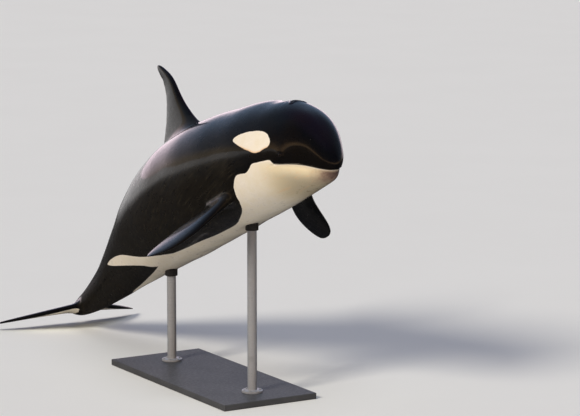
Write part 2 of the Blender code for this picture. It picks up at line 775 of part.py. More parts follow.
def make_flipper(name, side):
    """A broad paddle, swept back and hanging a little."""
    middle = natural_spline(FLIPPER_MIDDLE)
    chord = natural_spline(FLIPPER_HALF_CHORD)
    out = np.array([math.sin(FLIPPER_SWEEP), math.cos(FLIPPER_SWEEP) * math.cos(FLIPPER_DROOP),
                    -math.cos(FLIPPER_SWEEP) * math.sin(FLIPPER_DROOP)])
    rearward = np.array([1.0, 0.0, 0.0]) - out * out[0]
    rearward /= np.linalg.norm(rearward)
    face = np.cross(out, rearward)
    root = np.array(FLIPPER_ROOT)
    shoulder = FLIPPER_ROOT_STATIONS[-1]

    def half_chord(span):
        return chord(span) + flare(span - shoulder, FLIPPER_FLARE)

    def thickness(span):
        return thinning(span, FLIPPER_LENGTH, FLIPPER_THICKNESS) + flare(span - shoulder, FLIPPER_FLARE)

    def place(span, back, lift):
        bow = -FLIPPER_BOW * (span / FLIPPER_LENGTH) ** 2
        point = root + out * span + rearward * back + face * (lift + bow)
        return point * (1, side, 1)

    stations = list(FLIPPER_ROOT_STATIONS) + span_stations(0.10, FLIPPER_LENGTH, 13)
    loops = fin_loops(stations, middle, half_chord, thickness, place, FLIPPER_LENGTH, FLIPPER_TIP_POWER)
    flipper = Shell().loft([posed(loop) for loop in loops]).object(name, "black_skin")
    combine(flipper, [body_cutter()], "DIFFERENCE")
    return flipper


def make_fluke(name, side):
    """One lobe of the tail, from the notch to its swept tip."""
    middle = natural_spline(FLUKE_MIDDLE)
    chord = natural_spline(FLUKE_HALF_CHORD)

    def thickness(span):
        return thinning(span, FLUKE_LENGTH, FLUKE_THICKNESS) + flare(span, FLUKE_FLARE)

    def place(span, x, lift):
        depth = FLUKE_NOTCH * math.exp(-span / FLUKE_NOTCH_WIDTH)
        bow = FLUKE_BOW * (span / FLUKE_LENGTH) ** 2
        return x - depth * float(smooth_step(x, *FLUKE_NOTCH_REACH)), side * span, FLUKE_LEVEL + lift - bow

    stations = [GAP / 2, 0.03] + span_stations(0.06, FLUKE_LENGTH, 12)
    loops = fin_loops(stations, middle, chord, thickness, place, FLUKE_LENGTH, FLUKE_TIP_POWER)
    fluke = Shell().loft([posed(loop) for loop in loops]).object(name, "black_skin")
    combine(fluke, [body_cutter()], "DIFFERENCE")
    return fluke


# Stand

def make_base():
    """The flat base, its edges eased."""
    work = bmesh.new()
    bmesh.ops.create_cube(work, size=1.0)
    bmesh.ops.scale(work, verts=work.verts, vec=Vector(BASE_SIZE))
    bmesh.ops.translate(work, verts=work.verts, vec=Vector((BASE_X, 0.0, BASE_SIZE[2] / 2)))
    mesh = bpy.data.meshes.new("stand_base")
    work.to_mesh(mesh)
    work.free()
    mesh.materials.append(MATERIALS["stand_board"])
    base = bpy.data.objects.new("stand_base", mesh)
    bpy.context.scene.collection.objects.link(base)
    ease = base.modifiers.new("eased edges", "BEVEL")
    ease.width = BASE_EASE
    ease.segments = 3
    return base


def make_rod(name, x):
    """A rod with a foot flange, standing on the base and cut to the belly at its top."""
    foot = BASE_SIZE[2] + GAP
    profile = [(FLANGE_RADIUS, 0.0),
               (FLANGE_RADIUS, FLANGE_HEIGHT - FLANGE_CHAMFER),
               (FLANGE_RADIUS - FLANGE_CHAMFER, FLANGE_HEIGHT),
               (ROD_RADIUS + FLANGE_FILLET, FLANGE_HEIGHT),
               (ROD_RADIUS, FLANGE_HEIGHT + FLANGE_FILLET),
               (ROD_RADIUS, line_height(x) - foot)]
    loops = []
    for radius, height in profile:
        turns = [2 * math.pi * i / ROD_SIDES for i in range(ROD_SIDES)]
        loops.append([(x + radius * math.cos(t), radius * math.sin(t), foot + height) for t in turns])
    rod = Shell().loft(loops).object(name, "stand_steel")
    combine(rod, [body_cutter()], "DIFFERENCE")
    return rod


# The whole

for leftover in list(bpy.data.objects):
    bpy.data.objects.remove(leftover)
MATERIALS = make_materials()


def main():
    """Make every node."""
    make_head()
    make_lower_jaw()
    for name, (start, end, spacing) in BODY_LENGTHS.items():
        make_length(name, start, end, spacing)
    make_dorsal_fin()
    for side, word in ((1, "left"), (-1, "right")):
        make_eyeball("eye_" + word, side, EYE_RADIUS)
        make_flipper("flipper_" + word, side)
        make_fluke("fluke_" + word, side)
    make_base()
    for word, x in ROD_X.items():
        make_rod("stand_rod_" + word, x)


main()
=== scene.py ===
"""The orca's looks: one wet skin over its flesh, its eyes, and the finish of the display stand.

The animal is laid out straight first, as in the part's source: x is the distance behind the tip of
the snout, y is to the left and z is up. The skin is a flat sheet of squares, cut finer where there is
detail, wrapped round the straight body, joined to the fins and then carried along the arch of the back.
"""
import math

import bmesh
import bpy
import numpy as np
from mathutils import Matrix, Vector
from mathutils.bvhtree import BVHTree
from mathutils.kdtree import KDTree


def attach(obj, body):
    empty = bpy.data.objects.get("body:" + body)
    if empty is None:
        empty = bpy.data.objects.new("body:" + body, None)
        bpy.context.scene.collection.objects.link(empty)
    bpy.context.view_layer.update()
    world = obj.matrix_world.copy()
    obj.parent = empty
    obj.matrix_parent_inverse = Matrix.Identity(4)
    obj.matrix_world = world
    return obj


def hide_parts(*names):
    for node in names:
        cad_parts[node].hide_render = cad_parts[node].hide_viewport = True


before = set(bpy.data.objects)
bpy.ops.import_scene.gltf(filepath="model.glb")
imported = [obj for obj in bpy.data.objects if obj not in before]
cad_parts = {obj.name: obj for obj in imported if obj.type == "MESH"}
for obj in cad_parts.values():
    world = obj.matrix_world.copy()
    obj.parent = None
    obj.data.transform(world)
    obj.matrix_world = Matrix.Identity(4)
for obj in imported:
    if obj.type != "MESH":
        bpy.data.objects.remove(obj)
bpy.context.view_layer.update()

# The photograph's frame and camera
PHOTO_WIDTH = 580
CAMERA_AZIMUTH = math.radians(59.237)
CAMERA_ELEVATION = math.radians(9.392)
CAMERA_DISTANCE = 25.0
PIXELS_PER_METRE = 109.395
SENSOR_WIDTH = 36.0
SNOUT_AT = (2.781, 0.0, 2.385)
AIM_FROM_SNOUT = (-0.803, 0.0, -0.463)

# Outline of the straight body: distance behind the snout, height of the back, depth of the belly,
# half width, and the level where it is widest
BODY_LENGTH = 6.0
BODY = [(0.0, 0.0, 0.0, 0.0, 0.0), (0.1, 0.220, 0.122, 0.143, 0.027), (0.35, 0.435, 0.236, 0.262, 0.070),
        (0.8, 0.551, 0.382, 0.410, 0.084), (1.4, 0.545, 0.515, 0.495, 0.055),
        (2.3, 0.542, 0.603, 0.541, 0.020), (3.2, 0.520, 0.562, 0.478, 0.003),
        (4.2, 0.375, 0.375, 0.285, 0.0), (5.2, 0.190, 0.175, 0.105, 0.0), (6.0, 0.045, 0.040, 0.035, 0.0)]
# How full the body's section is above and below that level: 2 is an ellipse, and more is squarer
FULLNESS = [(0.0, 1.8, 1.97), (0.3, 2.55, 2.11), (0.8, 2.0, 2.2), (1.6, 2.1, 2.2),
            (2.6, 2.0, 2.15), (4.0, 1.75, 1.8), (5.0, 1.5, 1.5), (6.0, 1.6, 1.6)]
BODY_PITCH = [(0.0, -3.6), (0.9, 7.8), (2.3, 21.5), (3.3, 32.0), (4.4, 36.0), (5.4, 28.0), (6.0, 17.0)]
ARCH_BEYOND = 0.4
ARCH_STEPS = 1601
TAIL_TAPER = (5.62, 5.93)

# Mouth, cheek and throat
MOUTH_LEVEL = [(0.0, 0.0), (0.05, -0.007), (0.1, -0.004), (0.2, 0.005), (0.32, 0.011), (0.42, 0.007),
               (0.52, -0.001), (0.7, -0.014), (1.2, -0.03), (2.3, -0.03), (6.0, 0.0)]
GAPE = 0.525
MOUTH_GROOVE_DEPTH = 0.012
MOUTH_GROOVE_WIDTH = 0.0045
MOUTH_FADE = (GAPE - 0.03, GAPE + 0.03)
LOWER_LIP_INSET = 0.010
LOWER_LIP_LEVELS = (0.0, 0.012, 0.03, 0.12)
LOWER_LIP_FRONT = (0.10, 0.45)
LOWER_LIP_AT_GAPE = 0.35
# Behind the snout, height of the melon's lower edge over the mouth, and how far the skin under it lies back
MELON = [(0.0, 0.070, 0.006), (0.03, 0.085, 0.014), (0.07, 0.115, 0.020), (0.12, 0.20, 0.024),
         (0.18, 0.28, 0.030), (0.25, 0.28, 0.028), (0.35, 0.22, 0.016), (0.48, 0.18, 0.008),
         (0.62, 0.18, 0.0)]
UNDER_MELON_END = 0.62
UNDER_MELON_FADE = 0.16

# Eye
EYE_AT = (0.460, 0.090)
EYE_RADIUS = 0.027
EYE_SUNK = 0.0215
BROW_RISE = 0.008
BROW_WIDTH = 0.075
LID_TILT = math.radians(10)
EYE_HALF_LENGTH = 0.0215
EYE_HALF_HEIGHT = 0.0105
ALMOND_POWER = 0.8
ALMOND_END_SLOPE = 0.6
LID_OVER_BALL = 0.0022
LID_FADE = (0.012, 0.034)
LID_EDGE = 0.0022
EYE_OPENING_DEPTH = 0.016
EYE_FORMS_REACH = 0.12
# Ridges and folds are (rise, place, width), and a fold's rise is less than 0
LID_SWELL = (0.0030, 0.0, 0.030)
LID_RIM = (0.0016, 0.0035, 0.0026)
FOLDS_ABOVE_EYE = [(-0.0020, 0.0190, 0.0024), (-0.0012, 0.0275, 0.0030)]
FOLDS_BENEATH_EYE = [(-0.0013, 0.0200, 0.0030), (-0.0006, 0.0290, 0.0036)]
ABOVE_EYE = (0.05, 0.75)
BENEATH_EYE = (0.15, 0.80)
EYE_OVAL_LENGTH = 0.62
EYE_OVAL_TILT = 0.10
CORNER_FOLD = (-0.0012, 0.0, 0.0022)
CORNER_SLANT = 0.04
CORNER_REACH = (0.020, 0.026, 0.030, 0.044)

# Blowhole
BLOWHOLE_X = 0.64
BLOWHOLE_HALF_WIDTH = 0.072
BLOWHOLE_BOW = 0.034
BLOWHOLE_OPENING = 0.020
BLOWHOLE_STEPS = 41
BLOWHOLE_DEPTH = 0.034
BLOWHOLE_MOUND = 0.010
BLOWHOLE_MOUND_WIDTH = 0.11
BLOWHOLE_EDGE = (-0.002, 0.006)
BLOWHOLE_LIPS = (0.0065, 0.009, 0.010)
BLOWHOLE_PLUG = (0.004, BLOWHOLE_X - 0.012, 0.022)
BLOWHOLE_PLUG_WIDTH = 0.035
BLOWHOLE_FOLD = (-0.0035, BLOWHOLE_X + 0.075, 0.010)
BLOWHOLE_FOLD_WIDTH = 0.10
BLOWHOLE_FOLD_BOW = 1.2
BLOWHOLE_FORMS_REACH = 0.20
BLOWHOLE_FORMS_LEVEL = 0.3
NAPE_X = 0.86
NAPE_DIP = 0.010
NAPE_LENGTH = 0.10
NAPE_WIDTH = 0.20
TOP_OF_HEAD = (0.2, 0.4)

# Small forms of the skin
GAPE_FOLD = (-0.0045, 0.0, 0.006)
GAPE_FOLD_REACH = (-0.04, 0.0, 0.03, 0.085)
GAPE_FOLD_TURN = 6.0
GAPE_PAD = (0.004, 0.035, 0.03)
GAPE_PAD_LEVEL = 0.02
GAPE_PAD_HEIGHT = 0.02
CHIN_FOLD = (-0.003, -0.045, 0.010)
CHIN_FOLD_SLANT = 0.05
CHIN_FOLD_REACH = (0.05, 0.16, 0.40, 0.52)
EAR_AT = (0.62, 0.055)
EAR = (-0.004, 0.0, 0.0045)
# Slack in the blubber: its size, then two crossing waves as (radians per metre back, and up, start)
CHEST_SLACK = (0.0035, (2.2, 3.0, 0.0), (5.1, -2.0, 1.3))
FLANK_SLACK = (0.0022, (9.0, 4.0, 0.0), (-3.1, 4.3, 0.0))
SIDES_DIFFER = 0.8
SLACK_REACH = (0.7, 1.4, 4.4, 5.6)

# Foil section of the fins: factors of the root, first, second, third and fourth power of the chord's share
FOIL = (2.969, -1.260, -3.516, 2.843, -1.036)
FOIL_STEPS = 30
FIN_STEPS = 90
FIN_END_SHARE = 0.9999
# Waves worn into the rear edges: (size, radians per metre, start)
WEAR_WAVES = ((0.0025, 31.0, 0.0), (0.002, 77.0, 1.0))
WEAR_OUTWARD = 0.001
WEAR_FROM = 0.8
REAR_EDGE = 0.10
TIP_THICKNESS = 0.15
DORSAL_FOOT = 0.535
DORSAL_HEIGHT = 0.825
DORSAL_MIDDLE = [(-0.12, 2.738), (0.14, 2.718), (0.29, 2.711), (0.44, 2.706),
                 (0.64, 2.730), (0.74, 2.780), (0.825, 2.828)]
DORSAL_HALF_CHORD = [(-0.12, 0.37), (0.0, 0.37), (0.14, 0.287), (0.29, 0.189), (0.44, 0.122),
                     (0.64, 0.075), (0.74, 0.058), (0.825, 0.050)]
DORSAL_THICKNESS = (0.100, 0.030)
DORSAL_FLARE = 0.06
DORSAL_TIP_POWER = 14
DORSAL_ROOT_STATIONS = (-0.14, -0.01, 14)
FLIPPER_ROOT = (1.40, 0.400, -0.300)
FLIPPER_LENGTH = 0.95
FLIPPER_SWEEP = math.radians(38)
FLIPPER_DROOP = math.radians(45)
FLIPPER_BOW = 0.10
FLIPPER_SHOULDER = 0.04
FLIPPER_MIDDLE = [(0.0, 0.0), (0.35, 0.01), (0.65, 0.05), (0.95, 0.13)]
FLIPPER_HALF_CHORD = [(0.0, 0.145), (0.25, 0.185), (0.5, 0.217), (0.75, 0.20), (0.95, 0.15)]
FLIPPER_THICKNESS = (0.075, 0.030)
FLIPPER_FLARE = 0.025
FLIPPER_EASE = 0.06
FLIPPER_TIP_POWER = 4
FLIPPER_ROOT_STATIONS = (-0.16, 0.09, 22)
FLIPPER_BLADE_FROM = 0.10
FLIPPER_STEPS = 80
FLUKE_LENGTH = 0.84
FLUKE_MIDDLE = [(0.0, 5.755), (0.15, 5.815), (0.35, 5.885), (0.55, 5.965), (0.7, 6.045), (0.84, 6.14)]
FLUKE_HALF_CHORD = [(0.0, 0.245), (0.15, 0.215), (0.35, 0.155), (0.55, 0.10), (0.7, 0.062), (0.84, 0.035)]
FLUKE_NOTCH = 0.05
FLUKE_NOTCH_WIDTH = 0.035
FLUKE_NOTCH_REACH = (5.80, 6.0)
FLUKE_LEVEL = 0.005
FLUKE_BOW = 0.035
FLUKE_THICKNESS = (0.075, 0.022)
FLUKE_FLARE = 0.03
FLUKE_TIP_POWER = 8
FLUKE_WEAR_START = 0.3
FLUKE_WEAR_FROM = (0.05, 0.15)

# Markings, on the straight body. The eye patch and the throat's border are (behind the snout, height).
EYE_PATCH = [(0.726, 0.294), (0.646, 0.282), (0.599, 0.246), (0.576, 0.204), (0.590, 0.161), (0.647, 0.133),
             (0.699, 0.107), (0.762, 0.099), (0.818, 0.114), (0.901, 0.140), (1.001, 0.183), (1.060, 0.216),
             (1.035, 0.247), (0.964, 0.271), (0.877, 0.286), (0.805, 0.292)]
THROAT_BORDER = [(0.527, -0.008), (0.545, 0.006), (0.564, 0.024), (0.583, 0.034), (0.621, 0.031),
                 (0.672, 0.022), (0.736, 0.010), (0.803, -0.004), (0.849, -0.047), (0.910, -0.084),
                 (1.052, -0.105), (1.149, -0.205)]
# These are (behind the snout, degrees round from the belly)
BELLY_BORDER = [(1.20, 44), (1.30, 32), (1.50, 22), (1.70, 16), (2.0, 16), (2.4, 20), (2.8, 24),
                (3.2, 28), (3.6, 22), (4.0, 15), (4.4, 8), (4.5, 0)]
FLANK_LOBE = [(2.9, 22), (3.5, 45), (3.9, 68), (4.25, 82), (4.38, 84), (4.25, 70), (3.95, 52), (3.70, 38),
              (3.55, 25), (3.2, 18)]
# This is (behind the snout, distance down from the middle of the back)
SADDLE = [(2.95, 0.10), (2.75, 0.22), (2.90, 0.34), (3.20, 0.36), (3.50, 0.26), (3.80, 0.12), (3.95, 0.0),
          (3.80, -0.12), (3.50, -0.10), (3.20, -0.02)]
FLUKE_MARGIN = 0.055
FLUKE_MARGIN_AT_ROOT = 0.6
SNOUT_MARKED_BY_LEVEL = (0.22, 0.34)
FIN_STARTS = (1.05, 1.35)
MARKING_REACH = 0.3
NOT_WHITE = -0.1
SHARP_EDGE = 4
BLOWHOLE_DARK = (-0.001, 0.006)
EYE_DARK = (-0.001, 0.0015)
HEAD_END = 1.0
GIRTH_ROWS = 601
GIRTH_COLUMNS = 181

# Eyeball
CORNEA_RISE = 0.0016
CORNEA_WIDTH = 0.45
EYE_ROWS = 36
EYE_COLUMNS = 64

# Stand: the rods with their flanges, as in the part's source, and the bolts and rubber sleeves on them
ROD_X = {"front": 1.28, "rear": -0.32}
ROD_RADIUS = 0.045
ROD_FOOT = 0.0603
FLANGE_RADIUS = 0.100
FLANGE_HEIGHT = 0.018
FLANGE_TOP = ROD_FOOT + FLANGE_HEIGHT
FLANGE_ROUND = 0.004
FLANGE_FILLET = 0.012
ROD_BELOW_BELLY = 0.0008
BOLTS = 6
BOLT_CIRCLE = 0.079
BOLT_TURN = math.radians(14)
WASHER_RADIUS = 0.0125
WASHER_HEIGHT = 0.002
BOLT_RADIUS = 0.0092
BOLT_HEIGHT = 0.0095
BOLT_CHAMFER = 0.0014
SLEEVE_INNER = ROD_RADIUS + 0.0006
SLEEVE_OUTER = 0.062
SLEEVE_BELOW = 0.024
SLEEVE_ROUND = 0.005
TURNS = 96
ARC_POINTS = 7
BOLT_POINTS = 24
STAND_CREASE = math.radians(28)

# How far the skin is rounded where a fin meets the body
DORSAL_FILLET = 0.10
FLIPPER_FILLET = 0.07
FLUKE_FILLET = 0.07
FILLET_NEAR = 0.25
FILLET_INSIDE = 0.35
JOIN_EASE = 0.07
JOIN_ROUNDS = 40
JOIN_PULL = 0.5

# The sheet of skin: rows from snout to tail, and columns from the belly to the back
LIP_OFFSETS = (0.0015, 0.003, 0.0045, 0.0062, 0.0082, 0.0108, 0.0142, 0.019, 0.026, 0.036, 0.050, 0.068)
LIP_SPREAD = 1.6
LIP_SPREAD_BY = 1.3
LIP_FULL_REACH = (0.30, 0.19)
BELLY_STEPS = 34
BACK_STEPS = 84
HALF_COLUMNS = BELLY_STEPS + 2 * len(LIP_OFFSETS) + BACK_STEPS + 1
ROW_SPACING = [(0.0, 0.0035), (0.03, 0.0055), (0.35, 0.0075), (0.9, 0.0085), (1.3, 0.015), (5.2, 0.016),
               (5.6, 0.009), (5.93, 0.006)]
ROW_SAMPLES = 20001
REFINED_TIMES = 3
REFINED_MARGIN = 0.016
EYE_REFINED = (0.045, 0.036)
BLOWHOLE_REFINED = (0.05, 0.045, 0.035)


# Curves

def natural_spline(points):
    """Smooth curve through (x, value) points, as a function of x that takes arrays."""
    xs = np.array([p[0] for p in points], float)
    ys = np.array([p[1] for p in points], float)
    count = len(xs)
    step = np.diff(xs)
    system = np.eye(count)
    right = np.zeros(count)
    for i in range(1, count - 1):
        system[i, i - 1:i + 2] = step[i - 1], 2 * (step[i - 1] + step[i]), step[i]
        right[i] = 6 * ((ys[i + 1] - ys[i]) / step[i] - (ys[i] - ys[i - 1]) / step[i - 1])
    bend = np.linalg.solve(system, right)

    def value(x):
        x = np.asarray(x, float)
        i = np.clip(np.searchsorted(xs, x) - 1, 0, count - 2)
        before, after = x - xs[i], xs[i + 1] - x
        return ((bend[i] * after ** 3 + bend[i + 1] * before ** 3) / (6 * step[i])
                + (ys[i] / step[i] - bend[i] * step[i] / 6) * after
                + (ys[i + 1] / step[i] - bend[i + 1] * step[i] / 6) * before)
    return value


def body_profile(points):
    """Profile along the body, rounded off at the snout: a spline in the square root of the distance."""
    curve = natural_spline([(math.sqrt(x), value) for x, value in points])
    return lambda x: curve(np.sqrt(np.maximum(x, 0.0)))


def smooth_step(x, start, end):
    """0 before start, 1 after end, and smooth between."""
    t = np.clip((np.asarray(x, float) - start) / (end - start), 0.0, 1.0)
    return t * t * (3 - 2 * t)


def window(x, start, full, fading, end):
    """1 between full and fading, 0 before start and after end, and smooth between."""
    return smooth_step(x, start, full) * (1 - smooth_step(x, fading, end))


def bump(x, width):
    """A bell of height 1 round x = 0."""
    return np.exp(-(np.asarray(x, float) / width) ** 2)


def tail_taper(x):
    """Factor that closes the body to a point inside the flukes."""
    start, end = TAIL_TAPER
    share = np.clip((np.asarray(x, float) - start) / (end - start), 0.0, 1.0)
    return np.sqrt(np.maximum(1 - share ** 2, 0.0))


def beside_first(table, which):
    """One column of a table, beside the table's first."""
    return [(row[0], row[which]) for row in table]


back_height, belly_depth, half_width, widest_level = (
    body_profile(beside_first(BODY, i)) for i in (1, 2, 3, 4))
upper_fullness, lower_fullness = (body_profile(beside_first(FULLNESS, i)) for i in (1, 2))
mouth_level = body_profile(MOUTH_LEVEL)
melon_edge, under_melon_depth = (natural_spline(beside_first(MELON, i)) for i in (1, 2))


# The straight body

def plain_skin(x, angle):
    """Points of the plain body: angle 0 is the belly, pi/2 the right side and pi the back."""
    x, angle = np.broadcast_arrays(np.asarray(x, float), np.asarray(angle, float))
    middle = widest_level(x)
    sine, cosine = np.sin(angle), np.cos(angle)
    above = cosine < 0
    fullness = np.where(above, upper_fullness(x), lower_fullness(x))
    reach = np.where(above, back_height(x) - middle, belly_depth(x) + middle)
    taper = tail_taper(x)
    y = -half_width(x) * taper * np.sign(sine) * np.abs(sine) ** (2 / fullness)
    z = middle - reach * taper * np.sign(cosine) * np.abs(cosine) ** (2 / fullness)
    return np.stack([x, y, z], axis=-1)


def angle_at(x, level):
    """Angles at which the right side of the body has the heights level."""
    middle = widest_level(x)
    above = level > middle
    reach = np.where(above, back_height(x) - middle, belly_depth(x) + middle)
    fullness = np.where(above, upper_fullness(x), lower_fullness(x))
    share = np.clip(np.abs(level - middle) / np.maximum(reach, 1e-9), 0.0, 1.0)
    angle = np.arccos(share ** (fullness / 2))
    return np.where(above, math.pi - angle, angle)


def skin_normals(x, angle):
    """Outward normals of the plain body."""
    tiny = 1e-4
    root = np.sqrt(np.maximum(x, 1e-5))
    along = plain_skin((root + tiny) ** 2, angle) - plain_skin((root - tiny) ** 2, angle)
    around = plain_skin(x, angle + tiny) - plain_skin(x, angle - tiny)
    normal = np.cross(along, around)
    length = np.linalg.norm(normal, axis=-1, keepdims=True)
    return normal / np.maximum(length, 1e-12)


def eye_frame(side):
    """The eye's place on the skin, its outward normal, and the directions back and up along the skin."""
    x = np.array([EYE_AT[0]])
    angle = angle_at(x, EYE_AT[1])
    plain = plain_skin(x, angle)
    normal = skin_normals(x, angle)[0]
    point = plain[0] + normal * float(broad_relief(plain)[0])
    back = np.array([1.0, 0.0, 0.0]) - normal * normal[0]
    back /= np.linalg.norm(back)
    up = np.cross(normal, back)
    flip = np.array([1.0, -float(side), 1.0]) if side > 0 else np.ones(3)
    return point * flip, normal * flip, back * flip, up * flip


def tuck(share):
    """0 and level where share is 0, rising to 1 where share is 1."""
    return 1.5 * share ** 2 - 0.5 * share ** 3


def broad_relief(point):
    """How far the skin stands out from the plain body: the mouth, the melon, brow and blowhole."""
    x, y, z = point[..., 0], point[..., 1], point[..., 2]
    over_mouth = z - mouth_level(x)
    in_mouth = 1 - smooth_step(x, *MOUTH_FADE)
    groove = -MOUTH_GROOVE_DEPTH * bump(over_mouth, MOUTH_GROOVE_WIDTH)
    towards_front = 1 - smooth_step(x, *LOWER_LIP_FRONT)
    inset = LOWER_LIP_INSET * (LOWER_LIP_AT_GAPE + (1 - LOWER_LIP_AT_GAPE) * towards_front)
    lower_lip = -inset * window(-over_mouth, *LOWER_LIP_LEVELS)
    on_head = np.clip(x, 0.0, UNDER_MELON_END)
    share = np.clip(1 - over_mouth / melon_edge(on_head), 0.0, 1.0)
    under_melon = -under_melon_depth(on_head) * tuck(share)
    under_melon = under_melon * (1 - smooth_step(-over_mouth, 0.0, UNDER_MELON_FADE))
    brow = BROW_RISE * bump(np.hypot(x - EYE_AT[0], z - EYE_AT[1]), BROW_WIDTH)
    mound = BLOWHOLE_MOUND * bump(np.hypot(x - BLOWHOLE_X, y), BLOWHOLE_MOUND_WIDTH)
    nape = -NAPE_DIP * bump(x - NAPE_X, NAPE_LENGTH) * bump(y, NAPE_WIDTH)
    on_top = smooth_step(z, *TOP_OF_HEAD)
    return (groove + lower_lip) * in_mouth + under_melon + brow + (mound + nape) * on_top


def from_lids(point):
    """Distance outside the opening between the lids, less than 0 inside it, and place along and over it."""
    u, v = point[..., 0] - EYE_AT[0], point[..., 2] - EYE_AT[1]
    along = u * math.cos(LID_TILT) + v * math.sin(LID_TILT)
    height = v * math.cos(LID_TILT) - u * math.sin(LID_TILT)
    almond = 1 - (along / EYE_HALF_LENGTH) ** 2
    edge = EYE_HALF_HEIGHT * np.clip(almond, 0.0, 1.0) ** ALMOND_POWER
    beyond = np.maximum(np.abs(along) - EYE_HALF_LENGTH, 0.0)
    outside = np.hypot(np.maximum(np.abs(height) - edge, 0.0), beyond)
    inside = np.minimum(edge - np.abs(height), ALMOND_END_SLOPE * (EYE_HALF_LENGTH - np.abs(along)))
    return np.where(outside > 0, outside, -np.maximum(inside, 0.0)), along, height


def ridges(x, *forms):
    """Rise of some ridges and folds across x."""
    return sum(rise * bump(x - place, width) for rise, place, width in forms)


def eye_relief(point):
    """Lids that follow the ball, their rims, the folds round them and the opening between them."""
    gap, along, height = from_lids(point)
    radius = np.hypot(along, height)
    ball = np.sqrt(np.maximum(EYE_RADIUS ** 2 - radius ** 2, 0.0)) - EYE_SUNK
    over_ball = np.maximum(ball + LID_OVER_BALL, 0.0) * (1 - smooth_step(radius, *LID_FADE))
    oval = np.hypot(along * EYE_OVAL_LENGTH, height + EYE_OVAL_TILT * along)
    upward = height / np.maximum(radius, 1e-6)
    folds = (smooth_step(upward, *ABOVE_EYE) * ridges(oval, *FOLDS_ABOVE_EYE)
             + smooth_step(-upward, *BENEATH_EYE) * ridges(oval, *FOLDS_BENEATH_EYE))
    corner = ridges(height + CORNER_SLANT * along, CORNER_FOLD) * window(np.abs(along), *CORNER_REACH)
    sunk = -EYE_OPENING_DEPTH * smooth_step(-gap, 0.0, LID_EDGE)
    return over_ball + ridges(radius, LID_SWELL) + ridges(gap, LID_RIM) + folds + corner + sunk


def from_blowhole(point):
    """Distance outside the crescent of the blowhole, less than 0 inside it."""
    nearest = np.full(point.shape[:-1], np.inf)
    for share in np.linspace(-1.0, 1.0, BLOWHOLE_STEPS):
        bow = BLOWHOLE_X + BLOWHOLE_BOW * (0.5 - share ** 2)
        half = BLOWHOLE_OPENING / 2 * math.sqrt(1 - share ** 2)
        away = np.hypot(point[..., 0] - bow, point[..., 1] - share * BLOWHOLE_HALF_WIDTH)
        nearest = np.minimum(nearest, away - half)
    return nearest


def blowhole_relief(point):
    """The slot of the blowhole with its raised lips, and the fold behind it."""
    x, y, z = point[..., 0], point[..., 1], point[..., 2]
    gap = from_blowhole(point)
    slot = -BLOWHOLE_DEPTH * smooth_step(-gap, *BLOWHOLE_EDGE)
    plug = ridges(x, BLOWHOLE_PLUG) * bump(y, BLOWHOLE_PLUG_WIDTH)
    fold = ridges(x + BLOWHOLE_FOLD_BOW * y ** 2, BLOWHOLE_FOLD) * bump(y, BLOWHOLE_FOLD_WIDTH)
    return (slot + ridges(gap, BLOWHOLE_LIPS) + plug + fold) * smooth_step(z, *TOP_OF_HEAD)


def crossing_waves(x, z, shift, slack):
    """Two slanting waves multiplied, the first of them shifted."""
    size, (back, up, start), (other_back, other_up, other_start) = slack
    first = np.sin(back * x + up * z + start + shift)
    return size * first * np.sin(other_back * x + other_up * z + other_start)


def fine_relief(point):
    """Small forms that only the skin has: folds at the gape, the ear, creases and slack in the blubber."""
    x, y, z = point[..., 0], point[..., 1], point[..., 2]
    over_mouth = z - mouth_level(x)
    behind_gape = x - GAPE
    turned = over_mouth + GAPE_FOLD_TURN * np.maximum(behind_gape, 0.0) ** 2
    gape_fold = ridges(turned, GAPE_FOLD) * window(behind_gape, *GAPE_FOLD_REACH)
    gape_pad = ridges(behind_gape, GAPE_PAD) * bump(over_mouth - GAPE_PAD_LEVEL, GAPE_PAD_HEIGHT)
    chin_fold = ridges(over_mouth - CHIN_FOLD_SLANT * x, CHIN_FOLD) * window(x, *CHIN_FOLD_REACH)
    ear = ridges(np.hypot(x - EAR_AT[0], z - EAR_AT[1]), EAR)
    slack = crossing_waves(x, z, 0.0, CHEST_SLACK)
    slack = slack + crossing_waves(x, z, SIDES_DIFFER * np.sign(y), FLANK_SLACK)
    return gape_fold + gape_pad + chin_fold + ear + slack * window(x, *SLACK_REACH)


def skin(x, angle):
    """Points of the body's skin."""
    plain = plain_skin(x, angle)
    relief = broad_relief(plain) + fine_relief(plain)
    from_eye = np.hypot(plain[..., 0] - EYE_AT[0], plain[..., 2] - EYE_AT[1])
    near_eye = from_eye < EYE_FORMS_REACH
    relief[near_eye] += eye_relief(plain[near_eye])
    from_hole = np.hypot(plain[..., 0] - BLOWHOLE_X, plain[..., 1])
    near_hole = (from_hole < BLOWHOLE_FORMS_REACH) & (plain[..., 2] > BLOWHOLE_FORMS_LEVEL)
    relief[near_hole] += blowhole_relief(plain[near_hole])
    return plain + skin_normals(x, angle) * relief[..., None]


# The arch of the back

def make_arch():
    """The body's line at close steps: distance behind the snout, slope, and place."""
    reach = np.linspace(0.0, BODY_LENGTH + ARCH_BEYOND, ARCH_STEPS)
    slope = np.radians(natural_spline(BODY_PITCH)(np.minimum(reach, BODY_LENGTH)))
    step = reach[1] - reach[0]
    back = np.concatenate([[0.0], np.cumsum(np.cos((slope[1:] + slope[:-1]) / 2))]) * step
    down = np.concatenate([[0.0], np.cumsum(np.sin((slope[1:] + slope[:-1]) / 2))]) * step
    return reach, slope, SNOUT_AT[0] - back, SNOUT_AT[2] - down


ARCH = make_arch()


